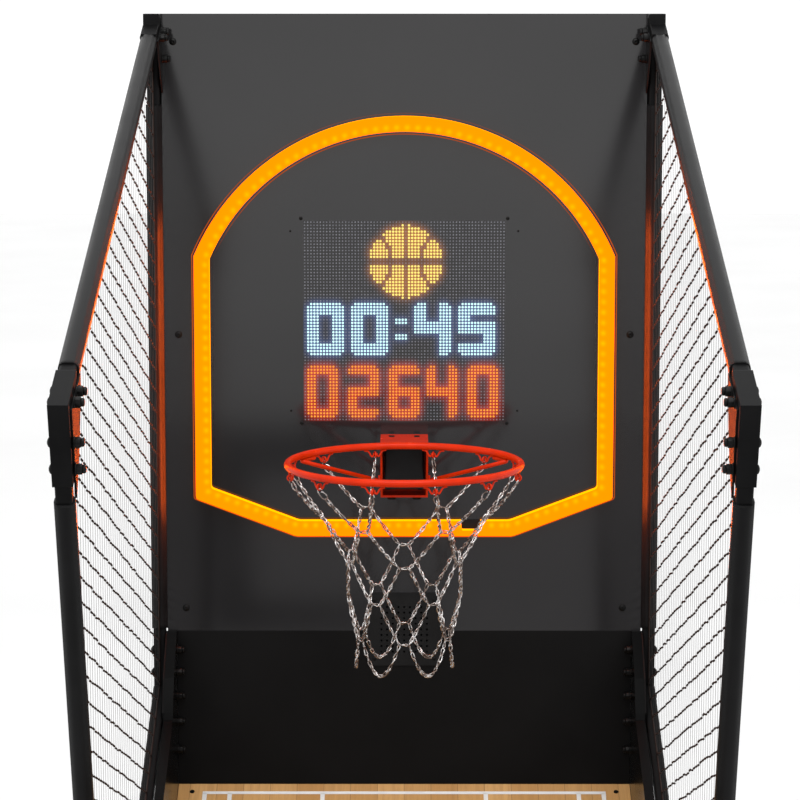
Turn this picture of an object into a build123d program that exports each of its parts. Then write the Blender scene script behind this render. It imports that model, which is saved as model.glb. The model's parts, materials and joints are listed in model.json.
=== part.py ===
from build123d import *
import math
import os

os.makedirs("parts", exist_ok=True)

# Axes: +X to the player's right, +Y towards the back of the machine, +Z up.
# The origin is on the floor, under the middle of the machine.
# Driving dimensions, in millimetres.
PANEL_Y = 828.0        # front face of the back panel
HOOP_Z = 1800.0        # plane of the hoop
TOP_Z = 2600.0         # top edge of the back panel
KICK_Z = 1418.0        # joint between back panel and kick panel
COURT_Z = 1113.0       # rear edge of the court surface
FRONT_Y = -940.0       # front face of the front panel
REAR_Y = 949.0         # rear face of the rear cover
FRAME_X = 472.0        # middle plane of each side frame
TUBE = 24.0            # square tube of the side frames
TUBE_ROUND = 4.0       # radius of its corners
WALL = 2.0             # wall of that tube
SLEEVE = 30.0          # width of the round-cornered sleeves over the tubes
SLEEVE_ROUND = 11.0
SHEET = 2.5            # folded brackets
GUSSET = 3.0           # flat gusset plates
BOARD = 18.0           # cabinet boards
SLOPE = 22.2           # court and side rails, degrees below level
HOOP_R = 210.0         # middle radius of the ring
ROD_R = 6.5            # radius of the ring's rod
HOOP_GAP = 130.0       # panel to the middle of the ring's rod
PANEL_T = 6.0
KICK_T = 6.0
BACKING_T = 12.0
DISPLAY = 384.0        # side of the square dot display
DISPLAY_Z = HOOP_Z + 219.5
RING_H = 20.0          # how far the glowing outline stands out
RING_W = 32.0
GRILLE = 143.0
GRILLE_Z = HOOP_Z - 379.0
BASE_Z = 60.0          # underside of the base board
WALL_X = FRAME_X - TUBE / 2 - GUSSET   # outer face of the cabinet sides

HOOP_Y = PANEL_Y - HOOP_GAP - HOOP_R
TAN = math.tan(math.radians(SLOPE))

# Corners of the side frame's centre lines, as (y, z).
TOP = (PANEL_Y, TOP_Z - 20.5)
KNEE = (PANEL_Y - 1555.0, HOOP_Z + 274.0)
RAIL_REAR = (PANEL_Y, HOOP_Z - 489.0)
POST_FOOT = (PANEL_Y - 1118.0, RAIL_REAR[1] - 1118.0 * TAN)
RAIL_FRONT = (FRONT_Y + 20.0, RAIL_REAR[1] - (PANEL_Y - FRONT_Y - 20.0) * TAN)


def unit(a, b):
    """Unit vector in the side plane from a to b."""
    length = math.dist(a, b)
    return (b[0] - a[0]) / length, (b[1] - a[1]) / length


def along(a, b, distance, side=0.0):
    """The point a distance from a towards b, and a distance to the left of that line."""
    u = unit(a, b)
    return a[0] + u[0] * distance - u[1] * side, a[1] + u[1] * distance + u[0] * side


def tube_plane(a, b, x):
    """Plane at a, in the side frame at x, facing b."""
    u = unit(a, b)
    return Plane(origin=(x, a[0], a[1]), x_dir=(1, 0, 0), z_dir=(0, u[0], u[1]))


def crossing(p, u, q, v):
    """Where the line through p along u meets the line through q along v."""
    det = u[0] * v[1] - u[1] * v[0]
    t = ((q[0] - p[0]) * v[1] - (q[1] - p[1]) * v[0]) / det
    return p[0] + u[0] * t, p[1] + u[1] * t


def bent_strip(end_a, corner, end_b, out_side, in_side, turn):
    """Outline of a strip along two legs; out_side and in_side are its edges' distances."""
    u, v = unit(end_a, corner), unit(corner, end_b)
    outline = []
    for side in (out_side * turn, -in_side * turn):
        p = along(end_a, corner, 0, side)
        q = along(corner, end_b, math.dist(corner, end_b), side)
        points = [p, crossing(p, u, q, v), q]
        outline += points if not outline else points[::-1]
    return outline


def save(part, name):
    part.label = name
    export_step(part, f"parts/{name}.step")


def save_pair(part, name):
    """The piece as built is the right-hand one; the left-hand one is its mirror image."""
    with BuildPart() as left:
        add(part)
        mirror(about=Plane.YZ, mode=Mode.REPLACE)
    save(left.part, f"left_{name}")
    save(part, f"right_{name}")


def plate(points, x, thickness):
    """Flat plate in the side plane, from x outwards."""
    with BuildPart() as flat:
        with BuildSketch(Plane.YZ.offset(x)):
            with BuildLine():
                Polyline(*points, close=True)
            make_face()
        extrude(amount=thickness)
    return flat.part


# ---- side frames ----
def square_tube(a, b, start, length):
    with BuildPart() as tube:
        with BuildSketch(tube_plane(a, b, FRAME_X).offset(start)):
            RectangleRounded(TUBE, TUBE, TUBE_ROUND)
            Rectangle(TUBE - 2 * TUBE_ROUND, TUBE - 2 * WALL, mode=Mode.SUBTRACT)
            Rectangle(TUBE - 2 * WALL, TUBE - 2 * TUBE_ROUND, mode=Mode.SUBTRACT)
        extrude(amount=length)
    return tube.part


def sleeve(a, b, start, length):
    """Soft-cornered cover pushed over a square tube."""
    with BuildPart() as cover:
        with BuildSketch(tube_plane(a, b, FRAME_X).offset(start)):
            RectangleRounded(SLEEVE, SLEEVE, SLEEVE_ROUND)
            RectangleRounded(TUBE, TUBE, TUBE_ROUND, mode=Mode.SUBTRACT)
        extrude(amount=length)
    return cover.part


POST_TOP = (PANEL_Y, TOP_Z - 3.0)
POST_BASE = (PANEL_Y, BASE_Z + BOARD)
POST_LENGTH = POST_TOP[1] - POST_BASE[1]
DIAGONAL = math.dist(TOP, KNEE)
FRONT_LEG = math.dist(KNEE, POST_FOOT)
RAIL = math.dist(RAIL_REAR, RAIL_FRONT)
TUBE_END = 19.0        # how far each tube stops short of a corner

save_pair(square_tube(POST_TOP, POST_BASE, 0, POST_LENGTH), "back_post")
save_pair(square_tube(TOP, KNEE, TUBE_END, DIAGONAL - 2 * TUBE_END), "diagonal_tube")
save_pair(square_tube(KNEE, POST_FOOT, TUBE_END, FRONT_LEG - 2 * TUBE_END), "front_post")
save_pair(square_tube(RAIL_REAR, RAIL_FRONT, TUBE_END, RAIL - TUBE_END), "side_rail")

BACK_SLEEVE_TOP = 167.0
BACK_SLEEVE = TOP_Z - BACK_SLEEVE_TOP - (HOOP_Z - 372.0)
BRACKET_LEG = 98.0
BARE_DIAGONAL = 122.0  # bare tube below the knee end of the diagonal sleeve
BARE_POST = 142.0      # bare tube between the knee and the front sleeve
save_pair(sleeve(POST_TOP, POST_BASE, BACK_SLEEVE_TOP, BACK_SLEEVE), "back_sleeve")
save_pair(
    sleeve(TOP, KNEE, BRACKET_LEG + 1, DIAGONAL - BRACKET_LEG - 1 - BARE_DIAGONAL),
    "diagonal_sleeve",
)
save_pair(sleeve(KNEE, POST_FOOT, BARE_POST, FRONT_LEG - BARE_POST - 125.0), "front_sleeve")


def bracket(outline, hollow):
    """Folded sheet over two tubes: the outline, with room for the tubes inside."""
    with BuildPart() as folded:
        with BuildSketch(Plane.YZ.offset(FRAME_X - TUBE / 2 - SHEET)):
            with BuildLine():
                Polyline(*outline, close=True)
            make_face()
        extrude(amount=TUBE + 2 * SHEET)
        with BuildSketch(Plane.YZ.offset(FRAME_X - TUBE / 2)):
            with BuildLine():
                Polyline(*hollow, close=True)
            make_face()
        extrude(amount=TUBE, mode=Mode.SUBTRACT)
    return folded.part


half = TUBE / 2
knee_top = along(KNEE, TOP, BRACKET_LEG)
knee_low = along(KNEE, POST_FOOT, 113.0)
knee_top_far = along(KNEE, TOP, BRACKET_LEG + 10)
knee_low_far = along(KNEE, POST_FOOT, 123.0)
save_pair(
    bracket(
        bent_strip(knee_top, KNEE, knee_low, half + SHEET, half, -1),
        bent_strip(knee_top_far, KNEE, knee_low_far, half, half + 5, -1),
    ),
    "knee_bracket",
)

top_end = along(TOP, KNEE, BRACKET_LEG, -half - SHEET)
top_end_low = along(TOP, KNEE, BRACKET_LEG, half)
diagonal_line = unit(TOP, KNEE)
shoulder_y = PANEL_Y - 44.0
shoulder = crossing(top_end, diagonal_line, (shoulder_y, 0), (0, 1))
inner_corner = crossing(top_end_low, diagonal_line, (PANEL_Y - half, 0), (0, 1))
leg_bottom = TOP_Z - 107.0
hollow_end = along(TOP, KNEE, BRACKET_LEG + 10, -half)
hollow_low = along(TOP, KNEE, BRACKET_LEG + 10, half + 5)
hollow_top = crossing(hollow_end, diagonal_line, (shoulder_y, 0), (0, 1))
save_pair(
    bracket(
        [
            (PANEL_Y + half, TOP_Z), (shoulder_y, TOP_Z), shoulder, top_end, top_end_low,
            inner_corner, (PANEL_Y - half, leg_bottom), (PANEL_Y + half, leg_bottom),
        ],
        [
            (PANEL_Y + half + 5, TOP_Z - 3.0), (shoulder_y + 8, TOP_Z - 3.0), hollow_top,
            hollow_end, hollow_low, (PANEL_Y - half - 5, inner_corner[1] - 5),
            (PANEL_Y - half - 5, leg_bottom - 5), (PANEL_Y + half + 5, leg_bottom - 5),
        ],
    ),
    "top_bracket",
)


# ---- gusset plates on the inner faces of the tubes ----
def gusset(corner, end_a, end_b, reach_a, reach_b, x, hollow):
    """Corner plate over both tubes; its free edge curves in by hollow, or out if negative."""
    a_out, b_out = along(corner, end_a, reach_a), along(corner, end_b, reach_b)
    middle = ((a_out[0] + b_out[0]) / 2, (a_out[1] + b_out[1]) / 2)
    waist = along(middle, corner, hollow * math.dist(middle, corner))
    with BuildPart() as web:
        with BuildSketch(Plane.YZ.offset(x)):
            with BuildLine():
                Line(corner, a_out)
                ThreePointArc(a_out, waist, b_out)
                Line(b_out, corner)
            make_face()
        extrude(amount=GUSSET)
    return web.part


INNER_X = FRAME_X - TUBE / 2 - GUSSET
BRACKET_X = INNER_X - SHEET
with BuildPart() as gusset_plates:
    add(gusset(KNEE, TOP, POST_FOOT, BARE_DIAGONAL - 4, BARE_POST - 4, BRACKET_X, -0.14))
    add(gusset(TOP, KNEE, POST_BASE, BRACKET_LEG - 2, BRACKET_LEG + 30, BRACKET_X, -0.05))
    add(gusset(POST_FOOT, KNEE, RAIL_REAR, 120.0, 150.0, INNER_X, 0.22))
REAR_PLATE = [
    (PANEL_Y + half, HOOP_Z - 385.0), (PANEL_Y - half, HOOP_Z - 385.0),
    (PANEL_Y - 90.0, HOOP_Z - 455.0), (PANEL_Y - 120.0, HOOP_Z - 515.0),
    (PANEL_Y - 112.0, HOOP_Z - 560.0), (PANEL_Y - half, HOOP_Z - 640.0),
    (PANEL_Y + half, HOOP_Z - 640.0),
]
with BuildPart() as all_gussets:
    add(gusset_plates.part)
    add(plate(REAR_PLATE, INNER_X, GUSSET))
save_pair(all_gussets.part, "gusset_plates")

# ---- cross bolts and cap nuts ----
POST_BOLT_Y = PANEL_Y - 9.0        # off the post's axis, so that the nuts clear the panel
bracket_bolts = (
    [along(TOP, KNEE, d, 4.0) for d in (32.0, 64.0)]
    + [(POST_BOLT_Y, TOP_Z - 84.0)]
    + [along(KNEE, TOP, d) for d in (25.0, 60.0)]
    + [along(KNEE, POST_FOOT, d) for d in (50.0, 92.0)]
)
wall_bolts = (
    [(POST_BOLT_Y, HOOP_Z - d) for d in (418.0, 462.0, 509.0, 560.0, 616.0)]
    + [along(RAIL_REAR, RAIL_FRONT, RAIL - 120.0)]
    + [along(POST_FOOT, RAIL_REAR, d) for d in (60.0, 110.0)]
)


def bolts_and_nuts():
    """Each bolt runs right through, so its nut sits on the innermost sheet or board."""
    outer_face = FRAME_X + TUBE / 2
    inner_face = FRAME_X - TUBE / 2 - GUSSET
    stacks = (
        (bracket_bolts, outer_face + SHEET, inner_face - SHEET),
        (wall_bolts, outer_face, inner_face - BOARD),
    )
    with BuildPart() as bolts:
        for spots, head_x, _ in stacks:
            with BuildSketch(Plane.YZ.offset(head_x)):
                with Locations(*spots):
                    Circle(7.5)
            extrude(amount=5.0, taper=28)
    with BuildPart() as nuts:
        for spots, _, nut_x in stacks:
            with BuildSketch(Plane.YZ.offset(nut_x)):
                with Locations(*spots):
                    RegularPolygon(7.2, 6)
            extrude(amount=-9.0)
            with BuildSketch(Plane.YZ.offset(nut_x - 9.0)):
                with Locations(*spots):
                    Circle(5.6)
            extrude(amount=-6.0, taper=8)
    return bolts.part, nuts.part


right_bolts, right_nuts = bolts_and_nuts()
for pieces, name in ((right_bolts, "frame_bolts"), (right_nuts, "frame_nuts")):
    with BuildPart() as both_sides:
        add(pieces)
        mirror(about=Plane.YZ)
    save(both_sides.part, name)

# ---- side nets: flat sheets stretched between the four tubes ----
NET_T = 3.0
NET_EDGE = SLEEVE / 2 + 2.0
net_top = crossing(
    along(TOP, KNEE, 0, NET_EDGE), diagonal_line, (PANEL_Y - NET_EDGE, 0), (0, 1)
)
net_knee = crossing(
    along(TOP, KNEE, 0, NET_EDGE), diagonal_line, along(KNEE, POST_FOOT, 0, NET_EDGE),
    unit(KNEE, POST_FOOT),
)
rail_line = unit(RAIL_REAR, RAIL_FRONT)
rail_top = along(RAIL_REAR, RAIL_FRONT, 0, -half)
net_foot = crossing(
    along(KNEE, POST_FOOT, 0, NET_EDGE), unit(KNEE, POST_FOOT), rail_top, rail_line
)
net_rear = crossing(rail_top, rail_line, (PANEL_Y - NET_EDGE, 0), (0, 1))
save_pair(plate([net_top, net_knee, net_foot, net_rear], FRAME_X - NET_T / 2, NET_T), "side_net")

# ---- back panel, backing board and kick panel ----
PANEL_HALF = FRAME_X - SLEEVE / 2 - 0.1
FRONT_PLANE = Plane.XZ.offset(-PANEL_Y)        # faces the player
panel_height = TOP_Z - KICK_Z
with BuildPart() as back_panel:
    with BuildSketch(FRONT_PLANE):
        with Locations((0, KICK_Z + panel_height / 2)):
            Rectangle(2 * PANEL_HALF, panel_height)
        with Locations((0, GRILLE_Z)):
            Circle(58, mode=Mode.SUBTRACT)
    extrude(amount=-PANEL_T)
save(back_panel.part, "back_panel")

SIDE_INNER = WALL_X - BOARD
with BuildPart() as kick_panel:
    with BuildSketch(FRONT_PLANE):
        with Locations((0, (KICK_Z + COURT_Z + 1) / 2)):
            Rectangle(2 * SIDE_INNER - 1, KICK_Z - COURT_Z - 1)
        with Locations((0, GRILLE_Z)):
            Circle(58, mode=Mode.SUBTRACT)
    extrude(amount=-KICK_T)
save(kick_panel.part, "kick_panel")

BACKING_BOTTOM = COURT_Z - 30.0
with BuildPart() as backing_board:
    with BuildSketch(FRONT_PLANE.offset(-PANEL_T)):
        with Locations((0, (BACKING_BOTTOM + TOP_Z - 8) / 2)):
            Rectangle(2 * SIDE_INNER - 2, TOP_Z - 8 - BACKING_BOTTOM)
        with Locations((0, DISPLAY_Z)):
            Rectangle(DISPLAY + 4, DISPLAY + 4, mode=Mode.SUBTRACT)
        with Locations((0, GRILLE_Z)):
            Circle(60, mode=Mode.SUBTRACT)
    extrude(amount=-BACKING_T)
save(backing_board.part, "backing_board")

# ---- glowing backboard outline: a diffuser channel with a strip of lamps inside ----
OUTLINE_HALF = 402.5
OUTLINE_FOOT = 208.0
SHOULDER_Z = HOOP_Z + 346.0
ELBOW_Z = HOOP_Z - 123.0
CROWN_Z = HOOP_Z + 609.0
FLOOR_Z = HOOP_Z - 196.5


def outline_band(outer, inner):
    """Closed band between two offsets inside the backboard outline."""
    with BuildSketch(FRONT_PLANE) as band:
        with BuildLine():
            Polyline(
                (-OUTLINE_HALF, SHOULDER_Z), (-OUTLINE_HALF, ELBOW_Z), (-OUTLINE_FOOT, FLOOR_Z),
                (OUTLINE_FOOT, FLOOR_Z), (OUTLINE_HALF, ELBOW_Z), (OUTLINE_HALF, SHOULDER_Z),
            )
            ThreePointArc((OUTLINE_HALF, SHOULDER_Z), (0, CROWN_Z), (-OUTLINE_HALF, SHOULDER_Z))
        make_face()
        if outer:
            offset(amount=-outer, kind=Kind.INTERSECTION, mode=Mode.REPLACE)
        offset(amount=outer - inner, kind=Kind.INTERSECTION, mode=Mode.SUBTRACT)
    return band.sketch


with BuildPart() as led_diffuser:
    extrude(outline_band(0, RING_W), amount=RING_H)
    extrude(outline_band(3, RING_W - 3), amount=RING_H - 3, mode=Mode.SUBTRACT)
save(led_diffuser.part, "led_diffuser")

with BuildPart() as led_strip:
    extrude(outline_band(RING_W / 2 - 5, RING_W / 2 + 5), amount=2.5)
save(led_strip.part, "led_strip")

# ---- dot matrix display, behind the panel ----
with BuildPart() as display_module:
    with BuildSketch(FRONT_PLANE.offset(-PANEL_T)):
        with Locations((0, DISPLAY_Z)):
            Rectangle(DISPLAY, DISPLAY)
    extrude(amount=-15.0)
    with BuildSketch(FRONT_PLANE.offset(-PANEL_T - 15.0)):
        with Locations((0, DISPLAY_Z)):
            Rectangle(60, 30)
    extrude(amount=-10.0)
save(display_module.part, "display_module")

# ---- hoop ----
with BuildPart() as hoop_ring:
    with Locations((0, HOOP_Y, HOOP_Z)):
        Torus(HOOP_R, ROD_R)
save(hoop_ring.part, "hoop_ring")

HOOKS = 12
HOOK_EYE = 4.5
HOOK_WIRE = 1.6
EYE_DROP = 18.5
with BuildPart() as net_hooks:
    for i in range(HOOKS):
        angle = 360.0 / HOOKS * (i + 0.5)
        spot = Plane(
            origin=(
                HOOP_R * math.cos(math.radians(angle)),
                HOOP_Y + HOOP_R * math.sin(math.radians(angle)),
                HOOP_Z - ROD_R - 0.05,
            ),
            x_dir=(-math.sin(math.radians(angle)), math.cos(math.radians(angle)), 0),
            z_dir=(0, 0, -1),
        )
        with BuildSketch(spot):
            Circle(HOOK_WIRE)
        extrude(amount=EYE_DROP - HOOK_EYE - ROD_R + 1)
        with Locations(
            Plane(
                origin=spot.origin - Vector(0, 0, EYE_DROP - ROD_R),
                x_dir=(0, 0, 1),
                z_dir=(math.cos(math.radians(angle)), math.sin(math.radians(angle)), 0),
            )
        ):
            Torus(HOOK_EYE, HOOK_WIRE)
save(net_hooks.part, "net_hooks")

# Chain net, hanging as a funnel: height below the ring and radius of each ring of links.
NET_RINGS = [(-30.5, 204.0), (-101.0, 143.0), (-169.0, 112.0), (-239.0, 101.5), (-312.0, 90.6)]
NET_END = (-378.0, 87.0)
NET_WALL = 5.0
net_profile = [(r, HOOP_Z + z) for z, r in NET_RINGS + [NET_END]]
with BuildPart() as chain_net:
    with BuildSketch(Plane.XZ):
        with BuildLine():
            Polyline(
                *net_profile, *[(r - NET_WALL, z) for r, z in reversed(net_profile)], close=True
            )
        make_face()
    revolve(axis=Axis.Z)
with BuildPart() as chain_net_hung:
    with Locations((0, HOOP_Y, 0)):
        add(chain_net.part)
save(chain_net_hung.part, "chain_net")

# ---- hoop bracket: folded plate with cheeks, its braces, bolts and the ball sensor ----
BRACKET_HALF = 45.0
BRACKET_T = 4.0
BRACKET_DROP = 114.0
BRACKET_REACH = HOOP_GAP - ROD_R
with BuildPart() as hoop_bracket:
    with BuildSketch(FRONT_PLANE):
        with Locations((0, HOOP_Z + 2 - BRACKET_DROP / 2)):
            Rectangle(2 * BRACKET_HALF, BRACKET_DROP)
    extrude(amount=BRACKET_T)
    with BuildSketch(Plane.XY.offset(HOOP_Z - 2)):
        with Locations((0, PANEL_Y - BRACKET_REACH / 2)):
            Rectangle(2 * BRACKET_HALF, BRACKET_REACH)
        with Locations((-24, PANEL_Y - 24), (24, PANEL_Y - 24)):
            SlotOverall(25, 11, rotation=90, mode=Mode.SUBTRACT)
    extrude(amount=BRACKET_T)
    for side in (-1, 1):
        start = BRACKET_HALF - BRACKET_T if side > 0 else -BRACKET_HALF
        with BuildSketch(Plane.YZ.offset(start)):
            with BuildLine():
                Polyline(
                    (PANEL_Y, HOOP_Z), (PANEL_Y - BRACKET_REACH, HOOP_Z),
                    (PANEL_Y - BRACKET_REACH, HOOP_Z - 16),
                    (PANEL_Y - 50, HOOP_Z + 4 - BRACKET_DROP),
                    (PANEL_Y, HOOP_Z + 4 - BRACKET_DROP), close=True,
                )
            make_face()
        extrude(amount=BRACKET_T)
    with BuildSketch(Plane.XY.offset(HOOP_Z - BRACKET_DROP + 2)):
        with Locations((0, PANEL_Y - 25)):
            Rectangle(2 * BRACKET_HALF, 50)
    extrude(amount=BRACKET_T)
save(hoop_bracket.part, "hoop_bracket")

BRACE_R = 3.8
BRACE_TURN = math.radians(26.0)     # from the ring's widest point towards the panel
brace_top = Vector(
    HOOP_R * math.cos(BRACE_TURN),
    HOOP_Y + HOOP_R * math.sin(BRACE_TURN),
    HOOP_Z - ROD_R - BRACE_R + 0.2,
)
brace_low = Vector(BRACKET_HALF + BRACE_R + 0.5, PANEL_Y - 68.0, HOOP_Z - 76.0)
with BuildPart() as right_brace:
    with BuildSketch(Plane(origin=brace_top, z_dir=brace_low - brace_top)):
        Circle(BRACE_R)
    extrude(amount=(brace_low - brace_top).length)
    with BuildSketch(Plane.YZ.offset(BRACKET_HALF)):
        with Locations((brace_low.Y, brace_low.Z)):
            SlotOverall(26, 12, rotation=55)
    extrude(amount=BRACE_R + 1.5)
with BuildPart() as hoop_braces:
    add(right_brace.part)
    mirror(about=Plane.YZ)
save(hoop_braces.part, "hoop_braces")

with BuildPart() as hoop_bolts:
    with BuildSketch(Plane.XY.offset(HOOP_Z - BRACKET_DROP + 2)):
        with Locations((-24, PANEL_Y - 34), (24, PANEL_Y - 34)):
            RegularPolygon(8, 6)
    extrude(amount=-6.0)
    with BuildSketch(FRONT_PLANE.offset(BRACKET_T)):
        with Locations((-30, HOOP_Z - 98), (30, HOOP_Z - 98)):
            RegularPolygon(7, 6)
    extrude(amount=5.0)
save(hoop_bolts.part, "hoop_bolts")

with BuildPart() as sensor_housing:
    with BuildSketch(Plane.XY.offset(HOOP_Z - 90)):
        with Locations((0, PANEL_Y - 46)):
            RectangleRounded(74, 70, 4)
    extrude(amount=84)
save(sensor_housing.part, "sensor_housing")

# ---- speaker and its grille ----
HOLES = 9
HOLE_PITCH = 11.0
GRILLE_SCREWS = 115.5
with BuildPart() as speaker_grille:
    with BuildSketch(FRONT_PLANE):
        with Locations((0, GRILLE_Z)):
            RectangleRounded(GRILLE, GRILLE, 4)
            with GridLocations(HOLE_PITCH, HOLE_PITCH, HOLES, HOLES):
                RegularPolygon(2.2, 8, mode=Mode.SUBTRACT)
    extrude(amount=3.0)
save(speaker_grille.part, "speaker_grille")

with BuildPart() as speaker:
    with BuildSketch(Plane.XZ.offset(-(PANEL_Y + PANEL_T + BACKING_T))):
        with Locations((0, GRILLE_Z)):
            Circle(65)
    extrude(amount=-6.0)
    with BuildSketch(Plane.XZ.offset(-(PANEL_Y + PANEL_T + BACKING_T + 6))):
        with Locations((0, GRILLE_Z)):
            Circle(52)
    extrude(amount=-34.0, taper=25)
    with BuildSketch(Plane.XZ.offset(-(PANEL_Y + PANEL_T + BACKING_T + 40))):
        with Locations((0, GRILLE_Z)):
            Circle(34)
    extrude(amount=-18.0)
save(speaker.part, "speaker")

# ---- screws ----
PANEL_SCREWS = [(435.0, HOOP_Z + 748.0), (430.0, HOOP_Z + 194.0), (421.0, HOOP_Z - 337.0)]
SCREW_R = 7.0
with BuildPart() as panel_screws:
    with BuildSketch(FRONT_PLANE):
        for x, z in PANEL_SCREWS:
            with Locations((-x, z), (x, z)):
                Circle(SCREW_R)
    extrude(amount=4.0, taper=30)
save(panel_screws.part, "panel_screws")

with BuildPart() as small_screws:
    with BuildSketch(FRONT_PLANE.offset(3.0)):
        with Locations((0, GRILLE_Z)):
            with GridLocations(GRILLE_SCREWS, GRILLE_SCREWS, 2, 2):
                Circle(3.6)
    extrude(amount=2.0)
    with BuildSketch(FRONT_PLANE):
        with Locations((0, DISPLAY_Z)):
            with GridLocations(DISPLAY + 8, DISPLAY + 8, 2, 2):
                Circle(3.5)
            with GridLocations(DISPLAY + 48, DISPLAY - 40, 2, 2):
                Circle(2.0)
    extrude(amount=1.8)
save(small_screws.part, "small_screws")

# ---- court board and cabinet ----
COURT_T = 12.0
COURT_END = FRONT_Y + 240.0
court_length = (PANEL_Y - 1 - COURT_END) / math.cos(math.radians(SLOPE))
court_plane = Plane(
    origin=(0, PANEL_Y - 1, COURT_Z),
    x_dir=(1, 0, 0),
    z_dir=(0, -math.sin(math.radians(SLOPE)), math.cos(math.radians(SLOPE))),
)
with BuildPart() as playfield:
    with BuildSketch(court_plane):
        with Locations((0, -court_length / 2)):
            Rectangle(2 * SIDE_INNER - 1, court_length)
    extrude(amount=-COURT_T)
save(playfield.part, "playfield")

COURT_SCREW_X = SIDE_INNER - 28.0
with BuildPart() as playfield_screws:
    with BuildSketch(court_plane):
        for row in range(4):
            with Locations((0, -25.0 - row * (court_length - 70.0) / 3)):
                with GridLocations(2 * COURT_SCREW_X, 0, 2, 1):
                    Circle(4.5)
    extrude(amount=1.5)
save(playfield_screws.part, "playfield_screws")

side_bottom = BASE_Z + BOARD
wall_top = along(RAIL_REAR, RAIL_FRONT, 0, -half)
wall_front = crossing(wall_top, rail_line, (FRONT_Y, 0), (0, 1))
GATE_Y = PANEL_Y - 1250.0
GATE_Z = COURT_Z - 1250.0 * TAN + 175.0
GATE_SHAFT_R = 6.0
RUNNING_FIT = 0.06
with BuildPart() as side_panel:
    with BuildSketch(Plane.YZ.offset(SIDE_INNER)):
        with BuildLine():
            Polyline(
                (REAR_Y, side_bottom), (FRONT_Y, side_bottom), wall_front,
                crossing(wall_top, rail_line, (PANEL_Y - 125.0, 0), (0, 1)),
                (PANEL_Y - 120.0, HOOP_Z - 515.0), (PANEL_Y - 90.0, HOOP_Z - 455.0),
                (PANEL_Y - half, KICK_Z - 0.05), (REAR_Y, KICK_Z - 0.05), close=True,
            )
        make_face()
        with Locations((GATE_Y, GATE_Z)):
            Circle(GATE_SHAFT_R + RUNNING_FIT, mode=Mode.SUBTRACT)
    extrude(amount=BOARD)
save_pair(side_panel.part, "side_panel")

FRONT_TOP = wall_front[1] - 6.0
BUTTON_Z = FRONT_TOP - 45.0
BUTTON_R = 22.0
FRONT_HOLE_R = 26.0
with BuildPart() as front_panel:
    with BuildSketch(Plane.XZ.offset(-FRONT_Y)):
        with Locations((0, (side_bottom + FRONT_TOP) / 2)):
            Rectangle(2 * SIDE_INNER - 1, FRONT_TOP - side_bottom)
        with Locations((0, BUTTON_Z)):
            Circle(FRONT_HOLE_R, mode=Mode.SUBTRACT)
    extrude(amount=-BOARD)
save(front_panel.part, "front_panel")

tray_top = COURT_Z - (PANEL_Y - COURT_END) * TAN - 14.0
with BuildPart() as ball_tray:
    with BuildSketch(Plane.YZ.offset(-SIDE_INNER + 0.5)):
        with BuildLine():
            Polyline(
                (FRONT_Y + BOARD, tray_top), (COURT_END + 6, tray_top),
                (COURT_END + 6, tray_top - 12), (FRONT_Y + BOARD, tray_top - 12), close=True,
            )
        make_face()
    extrude(amount=2 * SIDE_INNER - 1)
save(ball_tray.part, "ball_tray")

with BuildPart() as base_board:
    with BuildSketch(Plane.XY.offset(BASE_Z)):
        with Locations((0, (FRONT_Y + REAR_Y) / 2)):
            Rectangle(2 * (FRAME_X + half), REAR_Y - FRONT_Y)
        FOOT_X, FOOT_Y = FRAME_X - 45.0, REAR_Y - 80.0
        with GridLocations(2 * FOOT_X, 2 * FOOT_Y, 2, 2):
            Circle(5.0 + RUNNING_FIT, mode=Mode.SUBTRACT)
    extrude(amount=BOARD)
save(base_board.part, "base_board")

# ---- rear cover: a folded tray behind the panel and the cabinet ----
COVER_T = 2.0
FLANGE = 44.0
COVER_FRONT = PANEL_Y + PANEL_T + BACKING_T
with BuildPart() as rear_cover:
    with BuildSketch(Plane.XZ.offset(-COVER_FRONT)):
        with Locations((0, (side_bottom + TOP_Z - 8) / 2)):
            Rectangle(2 * SIDE_INNER - 2, TOP_Z - 8 - side_bottom)
    extrude(amount=-(REAR_Y - COVER_FRONT))
    with BuildSketch(Plane.XZ.offset(-COVER_FRONT)):
        with Locations((0, (side_bottom + TOP_Z - 8) / 2)):
            Rectangle(2 * SIDE_INNER - 2 - 2 * COVER_T, TOP_Z - 8 - side_bottom - 2 * COVER_T)
    extrude(amount=-(REAR_Y - COVER_FRONT - COVER_T), mode=Mode.SUBTRACT)
    # flanges behind the posts, above the cabinet sides
    with BuildSketch(Plane.XZ.offset(-COVER_FRONT)):
        for side in (-1, 1):
            with Locations((side * (SIDE_INNER - 1 + FLANGE / 2), (KICK_Z + 1 + TOP_Z - 8) / 2)):
                Rectangle(FLANGE, TOP_Z - 8 - KICK_Z - 1)
    extrude(amount=-COVER_T)
    INLET_X, INLET_Z = 300.0, 300.0
    with BuildSketch(Plane.XZ.offset(-REAR_Y)):
        with Locations((INLET_X, INLET_Z)):
            Rectangle(60, 48)
    extrude(amount=COVER_T, mode=Mode.SUBTRACT)
save(rear_cover.part, "rear_cover")

# ---- ball gate: a flap on a shaft across the court ----
GATE_DROP = 165.0
GATE_HALF = SIDE_INNER - 4.0
with BuildPart() as ball_gate:
    with BuildSketch(Plane.YZ.offset(-(WALL_X - 1))):
        with Locations((GATE_Y, GATE_Z)):
            Circle(GATE_SHAFT_R)
    extrude(amount=2 * (WALL_X - 1))
    with BuildSketch(Plane.YZ.offset(-GATE_HALF)):
        with Locations((GATE_Y, GATE_Z - GATE_DROP / 2)):
            Rectangle(4, GATE_DROP)
    extrude(amount=2 * GATE_HALF)
save(ball_gate.part, "ball_gate")

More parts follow.
